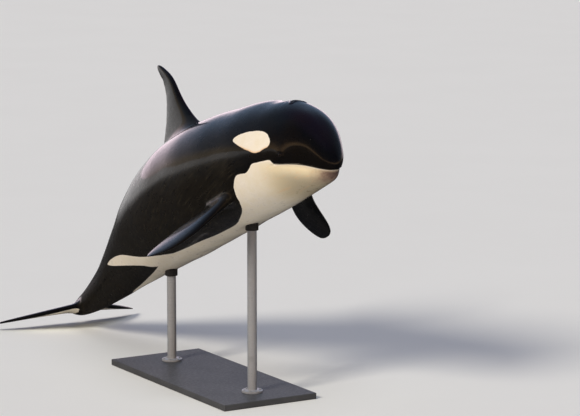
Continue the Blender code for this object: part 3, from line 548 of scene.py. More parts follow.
def posed(points):
    """Straight-body points carried onto the arched body."""
    points = np.asarray(points, float)
    reach, slope, line_x, line_z = ARCH
    x = points[..., 0]
    ahead = np.minimum(x, 0.0)
    angle = np.interp(x, reach, slope)
    place_x = np.interp(x, reach, line_x) - ahead * math.cos(slope[0])
    place_z = np.interp(x, reach, line_z) - ahead * math.sin(slope[0])
    return np.stack([place_x - np.sin(angle) * points[..., 2],
                     SNOUT_AT[1] + points[..., 1],
                     place_z + np.cos(angle) * points[..., 2]], axis=-1)


# The sheet of skin

def row_places():
    """Distances of the rows behind the snout, evenly apart along the curved head."""
    fine = np.linspace(0.0, math.sqrt(TAIL_TAPER[1] - 1e-4), ROW_SAMPLES) ** 2
    mean_reach = (back_height(fine) + belly_depth(fine)) / 2
    length = np.hypot(np.diff(fine), np.diff(mean_reach))
    spacing = np.interp(fine[1:], *zip(*ROW_SPACING))
    rows = np.concatenate([[0.0], np.cumsum(length / spacing)])
    count = int(rows[-1])
    return np.interp(np.linspace(0.0, rows[-1], count + 1), rows, fine)


def column_angles(x):
    """Angles of the columns at distances x, belly to back on the right side, close along the mouth."""
    x = np.asarray(x, float)[:, None]
    spread = 1 + LIP_SPREAD * smooth_step(x, GAPE, LIP_SPREAD_BY)
    room_above, room_below = back_height(x) / LIP_FULL_REACH[0], belly_depth(x) / LIP_FULL_REACH[1]
    shrink = np.minimum(1.0, np.minimum(room_above, room_below))
    offsets = np.array(LIP_OFFSETS)[None, :] * spread * shrink
    level = mouth_level(x)
    below = angle_at(x, level - offsets[:, ::-1])
    above = angle_at(x, level + offsets)
    share = np.linspace(0.0, 1.0, BELLY_STEPS + 1)[None, :-1]
    lower = below[:, :1] * share
    share = np.linspace(0.0, 1.0, BACK_STEPS + 1)[None, 1:]
    upper = above[:, -1:] + (math.pi - above[:, -1:]) * share
    return np.concatenate([lower, below, angle_at(x, level), above, upper], axis=1)


def flat_sheet(rows):
    """The unwrapped skin: a mesh whose x is the row's number and y the column's."""
    columns = 2 * (HALF_COLUMNS - 1)
    points = [(0.0, 0.0, 0.0)]
    for row in range(1, rows):
        points.extend((float(row), float(column), 0.0) for column in range(columns))
    ring = np.arange(columns)
    after = np.roll(ring, -1)
    faces = [(0, 1 + b, 1 + a) for a, b in zip(ring, after)]
    for row in range(rows - 2):
        start = 1 + row * columns
        faces.extend(zip(start + ring, start + after, start + columns + after, start + columns + ring))
    faces.append(tuple(1 + (rows - 2) * columns + ring))
    mesh = bpy.data.meshes.new("skin")
    mesh.from_pydata(points, [], [tuple(int(i) for i in face) for face in faces])
    return mesh


def refine(mesh, regions):
    """Cut the sheet's squares in two both ways, some times over, in ever closer reach of each region."""
    work = bmesh.new()
    work.from_mesh(mesh)
    for level in range(REFINED_TIMES):
        margin = REFINED_MARGIN * (REFINED_TIMES - 1 - level)
        near = {v for v in work.verts if any(region(v.co.x, v.co.y, margin) for region in regions)}
        edges = [e for e in work.edges if e.verts[0] in near and e.verts[1] in near]
        bmesh.ops.subdivide_edges(work, edges=edges, cuts=1, use_grid_fill=True)
    work.to_mesh(mesh)
    work.free()


def sheet_region(places, span, levels):
    """A test whether a place of the sheet lies near a stretch of the head, on either side."""
    first, last = np.interp(span, places, np.arange(len(places)))
    angles = angle_at(np.array([sum(span) / 2] * 2), np.array(levels))
    table = column_angles(np.array([sum(span) / 2]))[0]
    low, high = np.interp(angles, table, np.arange(HALF_COLUMNS))
    rows_per_metre = (last - first) / (span[1] - span[0])
    columns_per_metre = (high - low) / (levels[1] - levels[0])
    whole = 2 * (HALF_COLUMNS - 1)

    def inside(row, column, margin):
        if not first - margin * rows_per_metre <= row <= last + margin * rows_per_metre:
            return False
        reach = margin * columns_per_metre
        return low - reach <= column <= high + reach or low - reach <= whole - column <= high + reach
    return inside


def make_body():
    """The body as one closed skin, still straight."""
    places = row_places()
    mesh = flat_sheet(len(places))
    (eye_x, eye_z), (half_length, half_height) = EYE_AT, EYE_REFINED
    eye = sheet_region(places, (eye_x - half_length, eye_x + half_length),
                       (eye_z - half_height, eye_z + half_height))
    top = float(back_height(BLOWHOLE_X))
    ahead, behind, down = BLOWHOLE_REFINED
    hole = sheet_region(places, (BLOWHOLE_X - ahead, BLOWHOLE_X + behind), (top - down, top))
    refine(mesh, (eye, hole))
    co = np.zeros(len(mesh.vertices) * 3)
    mesh.vertices.foreach_get("co", co)
    row, column = co.reshape(-1, 3)[:, 0], co.reshape(-1, 3)[:, 1]
    kinds, which = np.unique(np.round(row, 4), return_inverse=True)
    x = np.interp(kinds, np.arange(len(places)), places)
    table = column_angles(np.maximum(x, 1e-6))
    on_left = column > HALF_COLUMNS - 1
    folded = np.where(on_left, 2 * (HALF_COLUMNS - 1) - column, column)
    low = np.clip(folded.astype(int), 0, HALF_COLUMNS - 2)
    part = folded - low
    angle = table[which, low] * (1 - part) + table[which, low + 1] * part
    angle = np.where(on_left, 2 * math.pi - angle, angle)
    points = skin(x[which], angle)
    points[0, 1:] = 0.0, float(points[1:2 * HALF_COLUMNS - 1, 2].mean())
    mesh.vertices.foreach_set("co", points.ravel())
    mesh.update()
    return new_object("skin", mesh)


def new_object(name, mesh):
    """An object of the mesh, its faces shaded smooth and pointing out."""
    work = bmesh.new()
    work.from_mesh(mesh)
    bmesh.ops.recalc_face_normals(work, faces=work.faces)
    work.to_mesh(mesh)
    work.free()
    mesh.shade_smooth()
    piece = bpy.data.objects.new(name, mesh)
    bpy.context.scene.collection.objects.link(piece)
    return piece


# Fins

def fin_section():
    """Foil outline, front edge first: share of the chord, and share of the half thickness."""
    shares = [(1 - math.cos(math.pi * i / FOIL_STEPS)) / 2 for i in range(FOIL_STEPS + 1)]
    upper = []
    for share in shares:
        half = FOIL[0] * math.sqrt(share) + sum(FOIL[power] * share ** power for power in range(1, 5))
        edge = REAR_EDGE * share * math.sqrt(max(1 - share ** 8, 0.0))
        upper.append((share, half + edge))
    lower = [(share, -half) for share, half in reversed(upper[1:-1])]
    return upper + lower


def thinning(span, length, sizes):
    """Thickness of a fin that thins evenly from its root to its tip."""
    root, tip = sizes
    return tip + (root - tip) * (1 - max(span, 0.0) / length)


def flare(span, size, ease=0.0):
    """How much wider a fin is near its root, fading over its own size, and setting in within ease."""
    beyond = (span + math.hypot(span, ease)) / 2
    return size * math.exp(-beyond / size)


def fin_loops(stations, middle, half_chord, thickness, place, length, tip_power):
    """Loops of a fin from root to tip. place turns span, chord and thickness into a point."""
    section = fin_section()
    loops = []
    for station in stations:
        rounding = math.sqrt(max(1 - max(station / length, 0.0) ** tip_power, 0.0))
        half = float(half_chord(station)) * rounding
        thick = float(thickness(station)) * max(rounding, TIP_THICKNESS) / 2
        centre = float(middle(station))
        loops.append([place(station, centre + half * (2 * share - 1), thick * side)
                      for share, side in section])
    return loops


def loft(name, loops):
    """Closed loops joined one to the next and capped at both ends."""
    count = len(loops[0])
    points = np.array(loops, float).reshape(-1, 3)
    ring = np.arange(count)
    after = np.roll(ring, -1)
    faces = [tuple(int(i) for i in ring[::-1])]
    for k in range(len(loops) - 1):
        start = k * count
        faces.extend(zip((start + ring).tolist(), (start + after).tolist(),
                         (start + count + after).tolist(), (start + count + ring).tolist()))
    faces.append(tuple(int(i) for i in ring + (len(loops) - 1) * count))
    mesh = bpy.data.meshes.new(name)
    mesh.from_pydata(points.tolist(), [], faces)
    return new_object(name, mesh)


def span_stations(start, length, count):
    """Places along a fin, closer together towards the rounded tip."""
    turns = np.linspace(0.0, math.pi / 2, count)
    return [start + (length * FIN_END_SHARE - start) * math.sin(t) for t in turns]


def rear_wear(span, share):
    """Small waves and nicks in a fin's rear edge, as metres taken off it."""
    wave = sum(size * math.sin(turn * span + start) for size, turn, start in WEAR_WAVES)
    return max(wave, -WEAR_OUTWARD) * max(share - WEAR_FROM, 0.0) / (1 - WEAR_FROM)


def make_dorsal_fin():
    """The tall fin on the back."""
    middle = natural_spline(DORSAL_MIDDLE)
    chord = natural_spline(DORSAL_HALF_CHORD)

    def half_chord(height):
        return chord(height) + flare(height, DORSAL_FLARE)

    def thickness(height):
        return thinning(height, DORSAL_HEIGHT, DORSAL_THICKNESS) + flare(height, DORSAL_FLARE)

    def place(height, x, side):
        share = (x - float(middle(height))) / max(float(half_chord(height)), 1e-6) / 2 + 0.5
        return x - rear_wear(height, share), side, DORSAL_FOOT + height

    stations = list(np.linspace(*DORSAL_ROOT_STATIONS)) + span_stations(0.0, DORSAL_HEIGHT, FIN_STEPS)
    loops = fin_loops(stations, middle, half_chord, thickness, place, DORSAL_HEIGHT, DORSAL_TIP_POWER)
    return loft("dorsal", loops)


def make_flipper(side):
    """A broad paddle, swept back and hanging a little."""
    middle = natural_spline(FLIPPER_MIDDLE)
    chord = natural_spline(FLIPPER_HALF_CHORD)
    out = np.array([math.sin(FLIPPER_SWEEP), math.cos(FLIPPER_SWEEP) * math.cos(FLIPPER_DROOP),
                    -math.cos(FLIPPER_SWEEP) * math.sin(FLIPPER_DROOP)])
    rearward = np.array([1.0, 0.0, 0.0]) - out * out[0]
    rearward /= np.linalg.norm(rearward)
    face = np.cross(out, rearward)
    root = np.array(FLIPPER_ROOT)

    def half_chord(span):
        return chord(span) + flare(span - FLIPPER_SHOULDER, FLIPPER_FLARE, FLIPPER_EASE)

    def thickness(span):
        return (thinning(span, FLIPPER_LENGTH, FLIPPER_THICKNESS)
                + flare(span - FLIPPER_SHOULDER, FLIPPER_FLARE, FLIPPER_EASE))

    def place(span, back, lift):
        bow = -FLIPPER_BOW * (span / FLIPPER_LENGTH) ** 2
        point = root + out * span + rearward * back + face * (lift + bow)
        return point * (1, side, 1)

    stations = list(np.linspace(*FLIPPER_ROOT_STATIONS))
    stations += span_stations(FLIPPER_BLADE_FROM, FLIPPER_LENGTH, FLIPPER_STEPS)
    loops = fin_loops(stations, middle, half_chord, thickness, place, FLIPPER_LENGTH, FLIPPER_TIP_POWER)
    return loft("flipper", loops)


def make_flukes():
    """Both lobes of the tail, tip to tip, with the notch between them."""
    middle = natural_spline(FLUKE_MIDDLE)
    chord = natural_spline(FLUKE_HALF_CHORD)

    def thickness(span):
        return thinning(span, FLUKE_LENGTH, FLUKE_THICKNESS) + flare(span, FLUKE_FLARE)

    def place(span, x, lift):
        depth = FLUKE_NOTCH * math.exp(-span / FLUKE_NOTCH_WIDTH)
        bow = FLUKE_BOW * (span / FLUKE_LENGTH) ** 2
        share = (x - float(middle(span))) / max(float(chord(span)), 1e-6) / 2 + 0.5
        wear = rear_wear(span + FLUKE_WEAR_START, share) * float(smooth_step(span, *FLUKE_WEAR_FROM))
        return x - depth * float(smooth_step(x, *FLUKE_NOTCH_REACH)) - wear, span, FLUKE_LEVEL + lift - bow

    stations = span_stations(0.0, FLUKE_LENGTH, FIN_STEPS)
    left = fin_loops(stations, middle, chord, thickness, place, FLUKE_LENGTH, FLUKE_TIP_POWER)
    right = [[(x, -y, z) for x, y, z in loop] for loop in reversed(left[1:])]
    return loft("flukes", right + left)


# Joining the fins to the body

def mesh_points(mesh):
    """The vertices of a mesh as an array."""
    co = np.zeros(len(mesh.vertices) * 3)
    mesh.vertices.foreach_get("co", co)
    return co.reshape(-1, 3)


def mesh_normals(mesh):
    """The vertex normals of a mesh as an array."""
    normals = np.zeros(len(mesh.vertices) * 3, np.float32)
    mesh.vertex_normals.foreach_get("vector", normals)
    return normals.reshape(-1, 3).astype(float)


def nearest_surface(points, tree):
    """Signed distances from points to a closed surface, more than 0 outside it, and its normals there."""
    distances = np.zeros(len(points))
    normals = np.zeros((len(points), 3))
    for i, point in enumerate(points):
        near, normal, _, distance = tree.find_nearest(point)
        away = Vector(point) - near
        distances[i] = distance if away.dot(normal) >= 0 else -distance
        normals[i] = normal
    return distances, normals


def fillet_rise(distance, size):
    """How far a surface rises at a distance from another, so that the two meet in a round of that size."""
    near = size * FILLET_NEAR
    rise = (math.sqrt(size) - np.sqrt(np.clip(distance, near, size))) ** 2
    return np.maximum(rise - FILLET_INSIDE * np.maximum(near - distance, 0.0), 0.0)


def raise_near(piece, tree, size, box):
    """A piece's points, moved out along their normals near a surface that faces another way."""
    points, normals = mesh_points(piece.data), mesh_normals(piece.data)
    low, high = box
    close = np.nonzero(np.all((points > low - size) & (points < high + size), axis=1))[0]
    distance, facing = nearest_surface(points[close], tree)
    turned = np.clip(1 - (normals[close] * facing).sum(axis=1), 0.0, 1.0)
    rise = np.where(distance < size, fillet_rise(distance, size), 0.0) * turned
    points[close] += normals[close] * rise[:, None]
    return points


def join_fins(body, fins):
    """One closed skin of the body and its fins, rounded where they meet."""
    start = mesh_points(body.data)
    tree = surface_tree(body.data)
    box = start.min(axis=0), start.max(axis=0)
    moved = start.copy()
    for fin, size in fins:
        points = mesh_points(fin.data)
        fin_box = points.min(axis=0), points.max(axis=0)
        moved += raise_near(body, surface_tree(fin.data), size, fin_box) - start
    for fin, size in fins:
        fin.data.vertices.foreach_set("co", raise_near(fin, tree, size, box).ravel())
        fin.data.update()
    body.data.vertices.foreach_set("co", moved.ravel())
    body.data.update()
    unite(body, [fin for fin, _ in fins])


def surface_tree(mesh):
    """A search tree over the faces of a mesh."""
    faces = [tuple(face.vertices) for face in mesh.polygons]
    return BVHTree.FromPolygons(mesh_points(mesh).tolist(), faces)


def unite(body, others):
    """Fuse the closed pieces into one closed surface, where the number of a face's slot is its piece's."""
    body.data.materials.append(bpy.data.materials.new(body.name))
    group = bpy.data.collections.new("fins")
    for other in others:
        other.data.materials.append(bpy.data.materials.new(other.name))
        group.objects.link(other)
    modifier = body.modifiers.new("union", "BOOLEAN")
    modifier.operation = "UNION"
    modifier.operand_type = "COLLECTION"
    modifier.collection = group
    modifier.solver = "MANIFOLD"
    modifier.material_mode = "TRANSFER"
    bpy.context.view_layer.update()
    view = bpy.context.evaluated_depsgraph_get()
    fused = bpy.data.meshes.new_from_object(body.evaluated_get(view))
    body.modifiers.clear()
    body.data = fused
    for other in others:
        bpy.data.objects.remove(other)
    bpy.data.collections.remove(group)


def piece_of_vertices(mesh):
    """For each piece's slot, which vertices its faces use."""
    slots = np.zeros(len(mesh.polygons), np.int32)
    mesh.polygons.foreach_get("material_index", slots)
    corners = np.zeros(len(mesh.loops), np.int32)
    mesh.loops.foreach_get("vertex_index", corners)
    counts = np.zeros(len(mesh.polygons), np.int32)
    mesh.polygons.foreach_get("loop_total", counts)
    slot_of_corner = np.repeat(slots, counts)
    used = np.zeros((len(mesh.materials), len(mesh.vertices)), bool)
    for slot in range(len(mesh.materials)):
        used[slot, corners[slot_of_corner == slot]] = True
    return used


def join_weight(mesh, points, reach):
    """1 at the lines where the body and the fins meet, falling to 0 at a distance from them."""
    line = points[piece_of_vertices(mesh).sum(axis=0) > 1]
    tree = KDTree(len(line))
    for i, point in enumerate(line):
        tree.insert(point, i)
    tree.balance()
    weight = np.zeros(len(points))
    low, high = line.min(axis=0) - reach, line.max(axis=0) + reach
    for i in np.nonzero(np.all((points > low) & (points < high), axis=1))[0]:
        weight[i] = max(0.0, 1 - tree.find(points[i])[2] / reach)
    return weight


def ease_joins(mesh):
    """Smooth the skin close to the lines where the fins were joined."""
    points = mesh_points(mesh)
    weight = join_weight(mesh, points, JOIN_EASE)
    edges = np.zeros(len(mesh.edges) * 2, np.int32)
    mesh.edges.foreach_get("vertices", edges)
    edges = edges.reshape(-1, 2)
    a, b = edges[(weight[edges] > 0).any(axis=1)].T
    count = np.bincount(a, minlength=len(points)) + np.bincount(b, minlength=len(points))
    moving = np.nonzero((weight > 0) & (count > 0))[0]
    for _ in range(JOIN_ROUNDS):
        total = np.zeros_like(points)
        np.add.at(total, a, points[b])
        np.add.at(total, b, points[a])
        mean = total[moving] / count[moving][:, None]
        points[moving] += (mean - points[moving]) * JOIN_PULL * weight[moving][:, None]
    mesh.vertices.foreach_set("co", points.ravel())
    mesh.update()


# Markings

def smooth_line(points, closed=False, steps=8):
    """A smooth line through the points, a Catmull-Rom spline."""
    points = np.array(points, float)
    if closed:
        around = np.concatenate([points[-1:], points, points[:2]])
    else:
        around = np.concatenate([2 * points[:1] - points[1:2], points, 2 * points[-1:] - points[-2:-1]])
    line = []
    for a, b, c, d in zip(around, around[1:], around[2:], around[3:]):
        for t in np.arange(steps) / steps:
            line.append(0.5 * (2 * b + (c - a) * t + (2 * a - 5 * b + 4 * c - d) * t ** 2
                               + (3 * b - a - 3 * c + d) * t ** 3))
    if not closed:
        line.append(points[-1])
    return np.array(line)


def girth_table():
    """Distances round the plain body from the belly, for even places and even angles."""
    places = np.linspace(0.0, BODY_LENGTH, GIRTH_ROWS)
    angles = np.linspace(0.0, math.pi, GIRTH_COLUMNS)
    points = plain_skin(places[:, None], angles[None, :])
    steps = np.linalg.norm(np.diff(points[..., 1:], axis=1), axis=-1)
    return np.concatenate([np.zeros((len(places), 1)), np.cumsum(steps, axis=1)], axis=1)


GIRTHS = girth_table()


def girth_at(x, angle):
    """Distance round the body from the belly to an angle."""
    rows, columns = GIRTHS.shape
    along = np.clip(x / BODY_LENGTH, 0.0, 1.0) * (rows - 1)
    around = np.clip(angle / math.pi, 0.0, 1.0) * (columns - 1)
    row = np.minimum(along.astype(int), rows - 2)
    column = np.minimum(around.astype(int), columns - 2)
    u, v = along - row, around - column
    return ((1 - u) * ((1 - v) * GIRTHS[row, column] + v * GIRTHS[row, column + 1])
            + u * ((1 - v) * GIRTHS[row + 1, column] + v * GIRTHS[row + 1, column + 1]))


def round_place(points):
    """Places of points in their cross-section: 1 from the middle on the plain skin, out and up."""
    x = np.maximum(points[:, 0], 1e-5)
    middle = widest_level(x)
    up = points[:, 2] - middle
    fullness = np.where(up > 0, upper_fullness(x), lower_fullness(x))
    reach = np.where(up > 0, back_height(x) - middle, belly_depth(x) + middle)
    rise = (np.abs(up) / np.maximum(reach, 1e-5)) ** (fullness / 2) * np.sign(up)
    out = (np.abs(points[:, 1]) / np.maximum(half_width(x), 1e-5)) ** (fullness / 2)
    return out, rise


def depth_inside(places, outline, reach=MARKING_REACH):
    """How far places lie inside a closed outline, less than 0 outside it and never below -reach."""
    depth = np.full(len(places), -reach)
    low, high = outline.min(axis=0) - reach, outline.max(axis=0) + reach
    near = np.nonzero(np.all((places > low) & (places < high), axis=1))[0]
    points = places[near]
    shortest = np.full(len(near), reach)
    inside = np.zeros(len(near), bool)
    for a, b in zip(outline, np.roll(outline, -1, axis=0)):
        side = b - a
        share = np.clip((points - a) @ side / max(side @ side, 1e-12), 0.0, 1.0)
        shortest = np.minimum(shortest, np.linalg.norm(points - a - share[:, None] * side, axis=1))
        crosses = (a[1] > points[:, 1]) != (b[1] > points[:, 1])
        if a[1] != b[1]:
            inside ^= crosses & (points[:, 0] < a[0] + (points[:, 1] - a[1]) * side[0] / side[1])
    depth[near] = np.where(inside, shortest, -shortest)
    return depth


def by_level(points):
    """Places given by their height, as distance behind the snout and distance round from the belly."""
    x, level = np.array(points, float).T
    return np.stack([x, girth_at(x, angle_at(x, level))], axis=1)


def by_degrees(points):
    """Places given by their angle from the belly, as distance behind the snout and distance round."""
    x, degrees = np.array(points, float).T
    return np.stack([x, girth_at(x, np.radians(degrees))], axis=1)


def belly_outline():
    """Outline of the white from the chin to the belly, closed below the middle of the belly."""
    lips = np.linspace(0.0, GAPE, 60)
    mouth = by_level(np.stack([lips, mouth_level(lips)], axis=1))
    throat = by_level(smooth_line(THROAT_BORDER))
    belly = by_degrees(smooth_line(BELLY_BORDER))
    outside = -0.5
    ends = np.array([[belly[-1, 0], outside], [outside, outside], [outside, mouth[0, 1]]])
    return np.concatenate([mouth, throat, belly, ends])


def fluke_white(points):
    """How far points lie inside the white under the flukes."""
    span = np.clip(np.abs(points[:, 1]), 0.0, FLUKE_LENGTH)
    middle = natural_spline(FLUKE_MIDDLE)(span)
    rounding = np.sqrt(1 - (span / FLUKE_LENGTH) ** FLUKE_TIP_POWER)
    half = natural_spline(FLUKE_HALF_CHORD)(span) * rounding
    from_edge = half - np.abs(points[:, 0] - middle)
    level = FLUKE_LEVEL - FLUKE_BOW * (span / FLUKE_LENGTH) ** 2
    beneath = (level - points[:, 2]) * SHARP_EDGE
    return np.minimum(from_edge - FLUKE_MARGIN * (FLUKE_MARGIN_AT_ROOT + span), beneath)


def mark_skin(mesh):
    """Write the markings of the straight skin, and the hollows to be painted dark as shade, into the mesh.
    """
    points = mesh_points(mesh)
    x, over_mouth = points[:, 0], points[:, 2] - mouth_level(points[:, 0])
    out, rise = round_place(points)
    places = np.stack([x, girth_at(x, np.arctan2(out, -rise))], axis=1)
    patch = depth_inside(places, by_level(smooth_line(EYE_PATCH, closed=True)))
    belly = depth_inside(places, belly_outline())
    past_snout = smooth_step(x, *SNOUT_MARKED_BY_LEVEL)
    belly = belly * past_snout - over_mouth * (1 - past_snout)
    flank = depth_inside(places, by_degrees(smooth_line(FLANK_LOBE, closed=True)))
    white = np.maximum(np.maximum(patch, belly), flank)
    _, dorsal, flipper_left, flipper_right, flukes = piece_of_vertices(mesh)
    white = np.where(dorsal | flipper_left | flipper_right, np.minimum(white, NOT_WHITE), white)
    white = np.where(flukes, fluke_white(points), white)
    from_back = np.stack([x, girth_at(x, np.full(len(points), math.pi)) - places[:, 1]], axis=1)
    saddle = depth_inside(from_back, smooth_line(SADDLE, closed=True))
    saddle = saddle - np.maximum(points[:, 2] - back_height(x), 0.0) * SHARP_EDGE
    # Where the mouth's groove, the blowhole's slot and the opening between the lids lie, to be painted dark
    # as shade
    mouth = bump(over_mouth, MOUTH_GROOVE_WIDTH) * (1 - smooth_step(x, *MOUTH_FADE))
    on_top = smooth_step(points[:, 2], *TOP_OF_HEAD)
    hole = smooth_step(-from_blowhole(points), *BLOWHOLE_DARK) * on_top
    gap, _, _ = from_lids(points)
    lids = np.where(x < HEAD_END, smooth_step(-gap, *EYE_DARK), 0.0)
    write_floats(mesh, "white", white)
    write_floats(mesh, "patch", patch)
    write_floats(mesh, "saddle", saddle)
    write_floats(mesh, "on_body", 1 - smooth_step(np.hypot(out, rise), *FIN_STARTS))
    write_floats(mesh, "hollow", np.clip(mouth + hole + lids, 0.0, 1.0))
    straight = mesh.attributes.new("straight", "FLOAT_VECTOR", "POINT")
    straight.data.foreach_set("vector", points.ravel())


def write_floats(mesh, name, values):
    """Store one number for each vertex."""
    layer = mesh.attributes.new(name, "FLOAT", "POINT")
    layer.data.foreach_set("value", np.asarray(values, np.float32))


# Materials

class Nodes:
    """A node tree and short ways to add to it."""

    def __init__(self, tree):
        self.tree = tree

    def add(self, kind, inputs, output=0, **settings):
        """A node with its settings, its inputs linked or set, and one of its outputs given back."""
        node = self.tree.nodes.new(kind)
        for name, value in settings.items():
            setattr(node, name, value)
        for key, value in inputs.items():
            self.feed(node.inputs[key], value)
        return node.outputs[output]

    def feed(self, socket, value):
        """Link an output to a socket, or set the socket's own value."""
        if isinstance(value, bpy.types.NodeSocket):
            self.tree.links.new(value, socket)
        else:
            socket.default_value = value

    def stored(self, name, output="Fac"):
        """A value stored in the mesh."""
        return self.add("ShaderNodeAttribute", {}, output, attribute_name=name)

    def noise(self, place, scale, detail=4.0, roughness=0.55, distortion=0.0):
        """Cloudy noise round 0.5."""
        sockets = {"Vector": place, "Scale": scale, "Detail": detail, "Roughness": roughness,
                   "Distortion": distortion}
        return self.add("ShaderNodeTexNoise", sockets, "Fac")

    def stretched(self, place, scale, turn=(0.0, 0.0, 0.0)):
        """Places turned and scaled by axis, so that what is drawn in them is drawn out."""
        turned = self.add("ShaderNodeMapping", {"Vector": place, "Rotation": turn})
        return self.add("ShaderNodeMapping", {"Vector": turned, "Scale": scale})

    def maths(self, operation, first, second=0.0):
        """A sum, product or the like of two numbers."""
        return self.add("ShaderNodeMath", {0: first, 1: second}, operation=operation)

    def plus(self, first, second):
        """A sum."""
        return self.maths("ADD", first, second)

    def times(self, first, *others):
        """A product."""
        for other in others:
            first = self.maths("MULTIPLY", first, other)
        return first

    def remap(self, value, start, end, low=0.0, high=1.0):
        """low where the value is at start, high where it is at end, smooth between."""
        sockets = {"Value": value, "From Min": start, "From Max": end, "To Min": low, "To Max": high}
        return self.add("ShaderNodeMapRange", sockets, interpolation_type="SMOOTHSTEP")

    def blend(self, share, first, second):
        """Two colours mixed."""
        node = self.tree.nodes.new("ShaderNodeMix")
        node.data_type = "RGBA"
        self.feed(node.inputs[0], share)
        for socket, value in ((node.inputs[6], first), (node.inputs[7], second)):
            self.feed(socket, (*value, 1.0) if isinstance(value, tuple) else value)
        return node.outputs[2]


class Finish(Nodes):
    """A material's nodes and short ways to give its shader what it needs."""

    def __init__(self, name, **sockets):
        self.material = bpy.data.materials.new(name)
        self.material.use_nodes = True
        super().__init__(self.material.node_tree)
        self.shader = self.tree.nodes["Principled BSDF"]
        for socket, value in sockets.items():
            socket = socket.replace("_", " ").title().replace("Ior", "IOR")
            self.shader.inputs[socket].default_value = value

    def give(self, **sockets):
        """Feed the shader's sockets."""
        for socket, value in sockets.items():
            self.feed(self.shader.inputs[socket.replace("_", " ").title()], value)

    def roughen(self, *layers):
        """Bumps of several heights, each a (height, depth in metres) pair, given to the shader."""
        normal = None
        for height, depth in layers:
            sockets = {"Height": height, "Strength": 1.0, "Distance": depth}
            if normal:
                sockets["Normal"] = normal
            normal = self.add("ShaderNodeBump", sockets)
        self.give(normal=normal)


BLACK_BLUE = (0.0022, 0.0027, 0.0038)
BLACK_BROWN = (0.0042, 0.0032, 0.0026)
# Painted sheen low on the flank: an olive tint, and pale olive streaks
OLIVE_PAINTED_SHEEN = (0.0100, 0.0077, 0.0045)
OLIVE_STREAK_PAINTED_SHEEN = (0.0560, 0.0460, 0.0290)
# Painted grey sheen, in streaks towards the tail
REAR_PAINTED_SHEEN = (0.0150, 0.0155, 0.0170)
SCRATCH_GREY = (0.032, 0.032, 0.033)
CREAM = (0.82, 0.735, 0.57)
CREAM_PALE = (0.86, 0.785, 0.66)
CREAM_YELLOW = (0.79, 0.66, 0.42)
CREAM_ORANGE = (0.76, 0.46, 0.22)
# Painted shade down the chin, where it faces down
CHIN_PAINTED_SHADE = (0.43, 0.365, 0.25)
# Rose-brown painted shade at the front of the jaw, and darker painted shade at its tip
JAW_FRONT_PAINTED_SHADE = (0.22, 0.125, 0.100)
JAW_TIP_PAINTED_SHADE = (0.060, 0.027, 0.029)
SADDLE_GREY = (0.125, 0.130, 0.140)
SADDLE_DARK = (0.070, 0.073, 0.080)
# Painted shade in the mouth's groove, the blowhole's slot and the opening between the lids
HOLLOW_PAINTED_SHADE = (0.004, 0.003, 0.003)

# Where some of them set in and where they are full: behind the snout, or up
REAR_PAINTED_SHEEN_BACK = (1.30, 2.60)
# Where the painted olive sheen low on the flank sets in
OLIVE_SHEEN_BACK = (0.80, 1.30)
OLIVE_SHEEN_UP = (0.36, -0.02)
CHIN_BACK = (0.95, 0.45)
CHIN_UP = (0.07, -0.05)
# Where the painted shade down the chin sets in
CHIN_PAINTED_SHADE_BACK = (0.80, 0.35)
CHIN_PAINTED_SHADE_UP = (-0.02, -0.13)
PATCH_FOOT_UP = (0.20, 0.13)
# Where the painted shade at the front and tip of the jaw sets in
JAW_FRONT_BACK = (0.27, 0.03)
JAW_FRONT_UP = (0.01, -0.05)
JAW_TIP_BACK = (0.17, 0.0)
JAW_TIP_UP = (0.005, -0.05)
# Distances inside a marking's edge, less than 0 outside it, and how far noise moves the edge
PALE_EDGE = (0.020, 0.0)
MARKING_EDGE = (-0.0022, 0.0022)
RAGGED_EDGE = 0.009
SADDLE_EDGE = (-0.05, 0.07)
SADDLE_SOFTNESS = 0.14
SCRATCH_SHARE = 0.28
# How noise is drawn out: its scale by axis after a turn
STREAKS_DRAWN = ((1.2, 9.0, 13.0), (0.0, math.radians(-20), 0.0))
HAIR_DRAWN = ((1.1, 16.0, 60.0), (0.0, math.radians(-22), 0.0))
RAKES_DRAWN = ((1.6, 34.0, 85.0), (0.0, 0.35, 0.25))

# Iris and pupil: the angle from the middle of the gaze, in radians, and their colours
PUPIL_EDGE = (0.275, 0.240)
PUPIL_SHAPE = (0.72, 1.15, 1.0)
IRIS_RIM = (0.32, 0.44)
IRIS_EDGE = (0.42, 0.46)
IRIS_BROWN = (0.010, 0.006, 0.004)
IRIS_PALE = (0.030, 0.018, 0.010)
IRIS_DARK = (0.006, 0.005, 0.005)
EYE_WHITE = (0.018, 0.013, 0.012)
EYE_WHITE_DARK = (0.010, 0.008, 0.008)
PUPIL_BLACK = (0.002, 0.002, 0.002)

# Stand
BOARD_DARK = (0.050, 0.052, 0.056)
BOARD_PALE = (0.070, 0.072, 0.077)
BOARD_DUST = (0.13, 0.13, 0.127)
BOARD_WORN = (0.16, 0.16, 0.16)
STEEL_DARK = (0.40, 0.41, 0.43)
STEEL_PALE = (0.55, 0.56, 0.58)
STEEL_SMUDGE = (0.34, 0.34, 0.35)
RUBBER_BLACK = (0.014, 0.014, 0.014)
RUBBER_DUST = (0.045, 0.044, 0.042)

# Light of the surroundings before the animal, beside it and behind it, as the camera stands
FRONT_LOW = (1.15, 0.72, 0.38)
FRONT_HIGH = (0.020, 0.024, 0.040)
SIDE_LOW = (0.36, 0.28, 0.18)
SIDE_HIGH = (0.10, 0.13, 0.18)
BACK_LOW = (1.55, 1.28, 1.40)
BACK_HIGH = (0.22, 0.31, 0.46)
OVERHEAD = (0.090, 0.062, 0.155)
WALL_SEEN = (0.665, 0.655, 0.650)
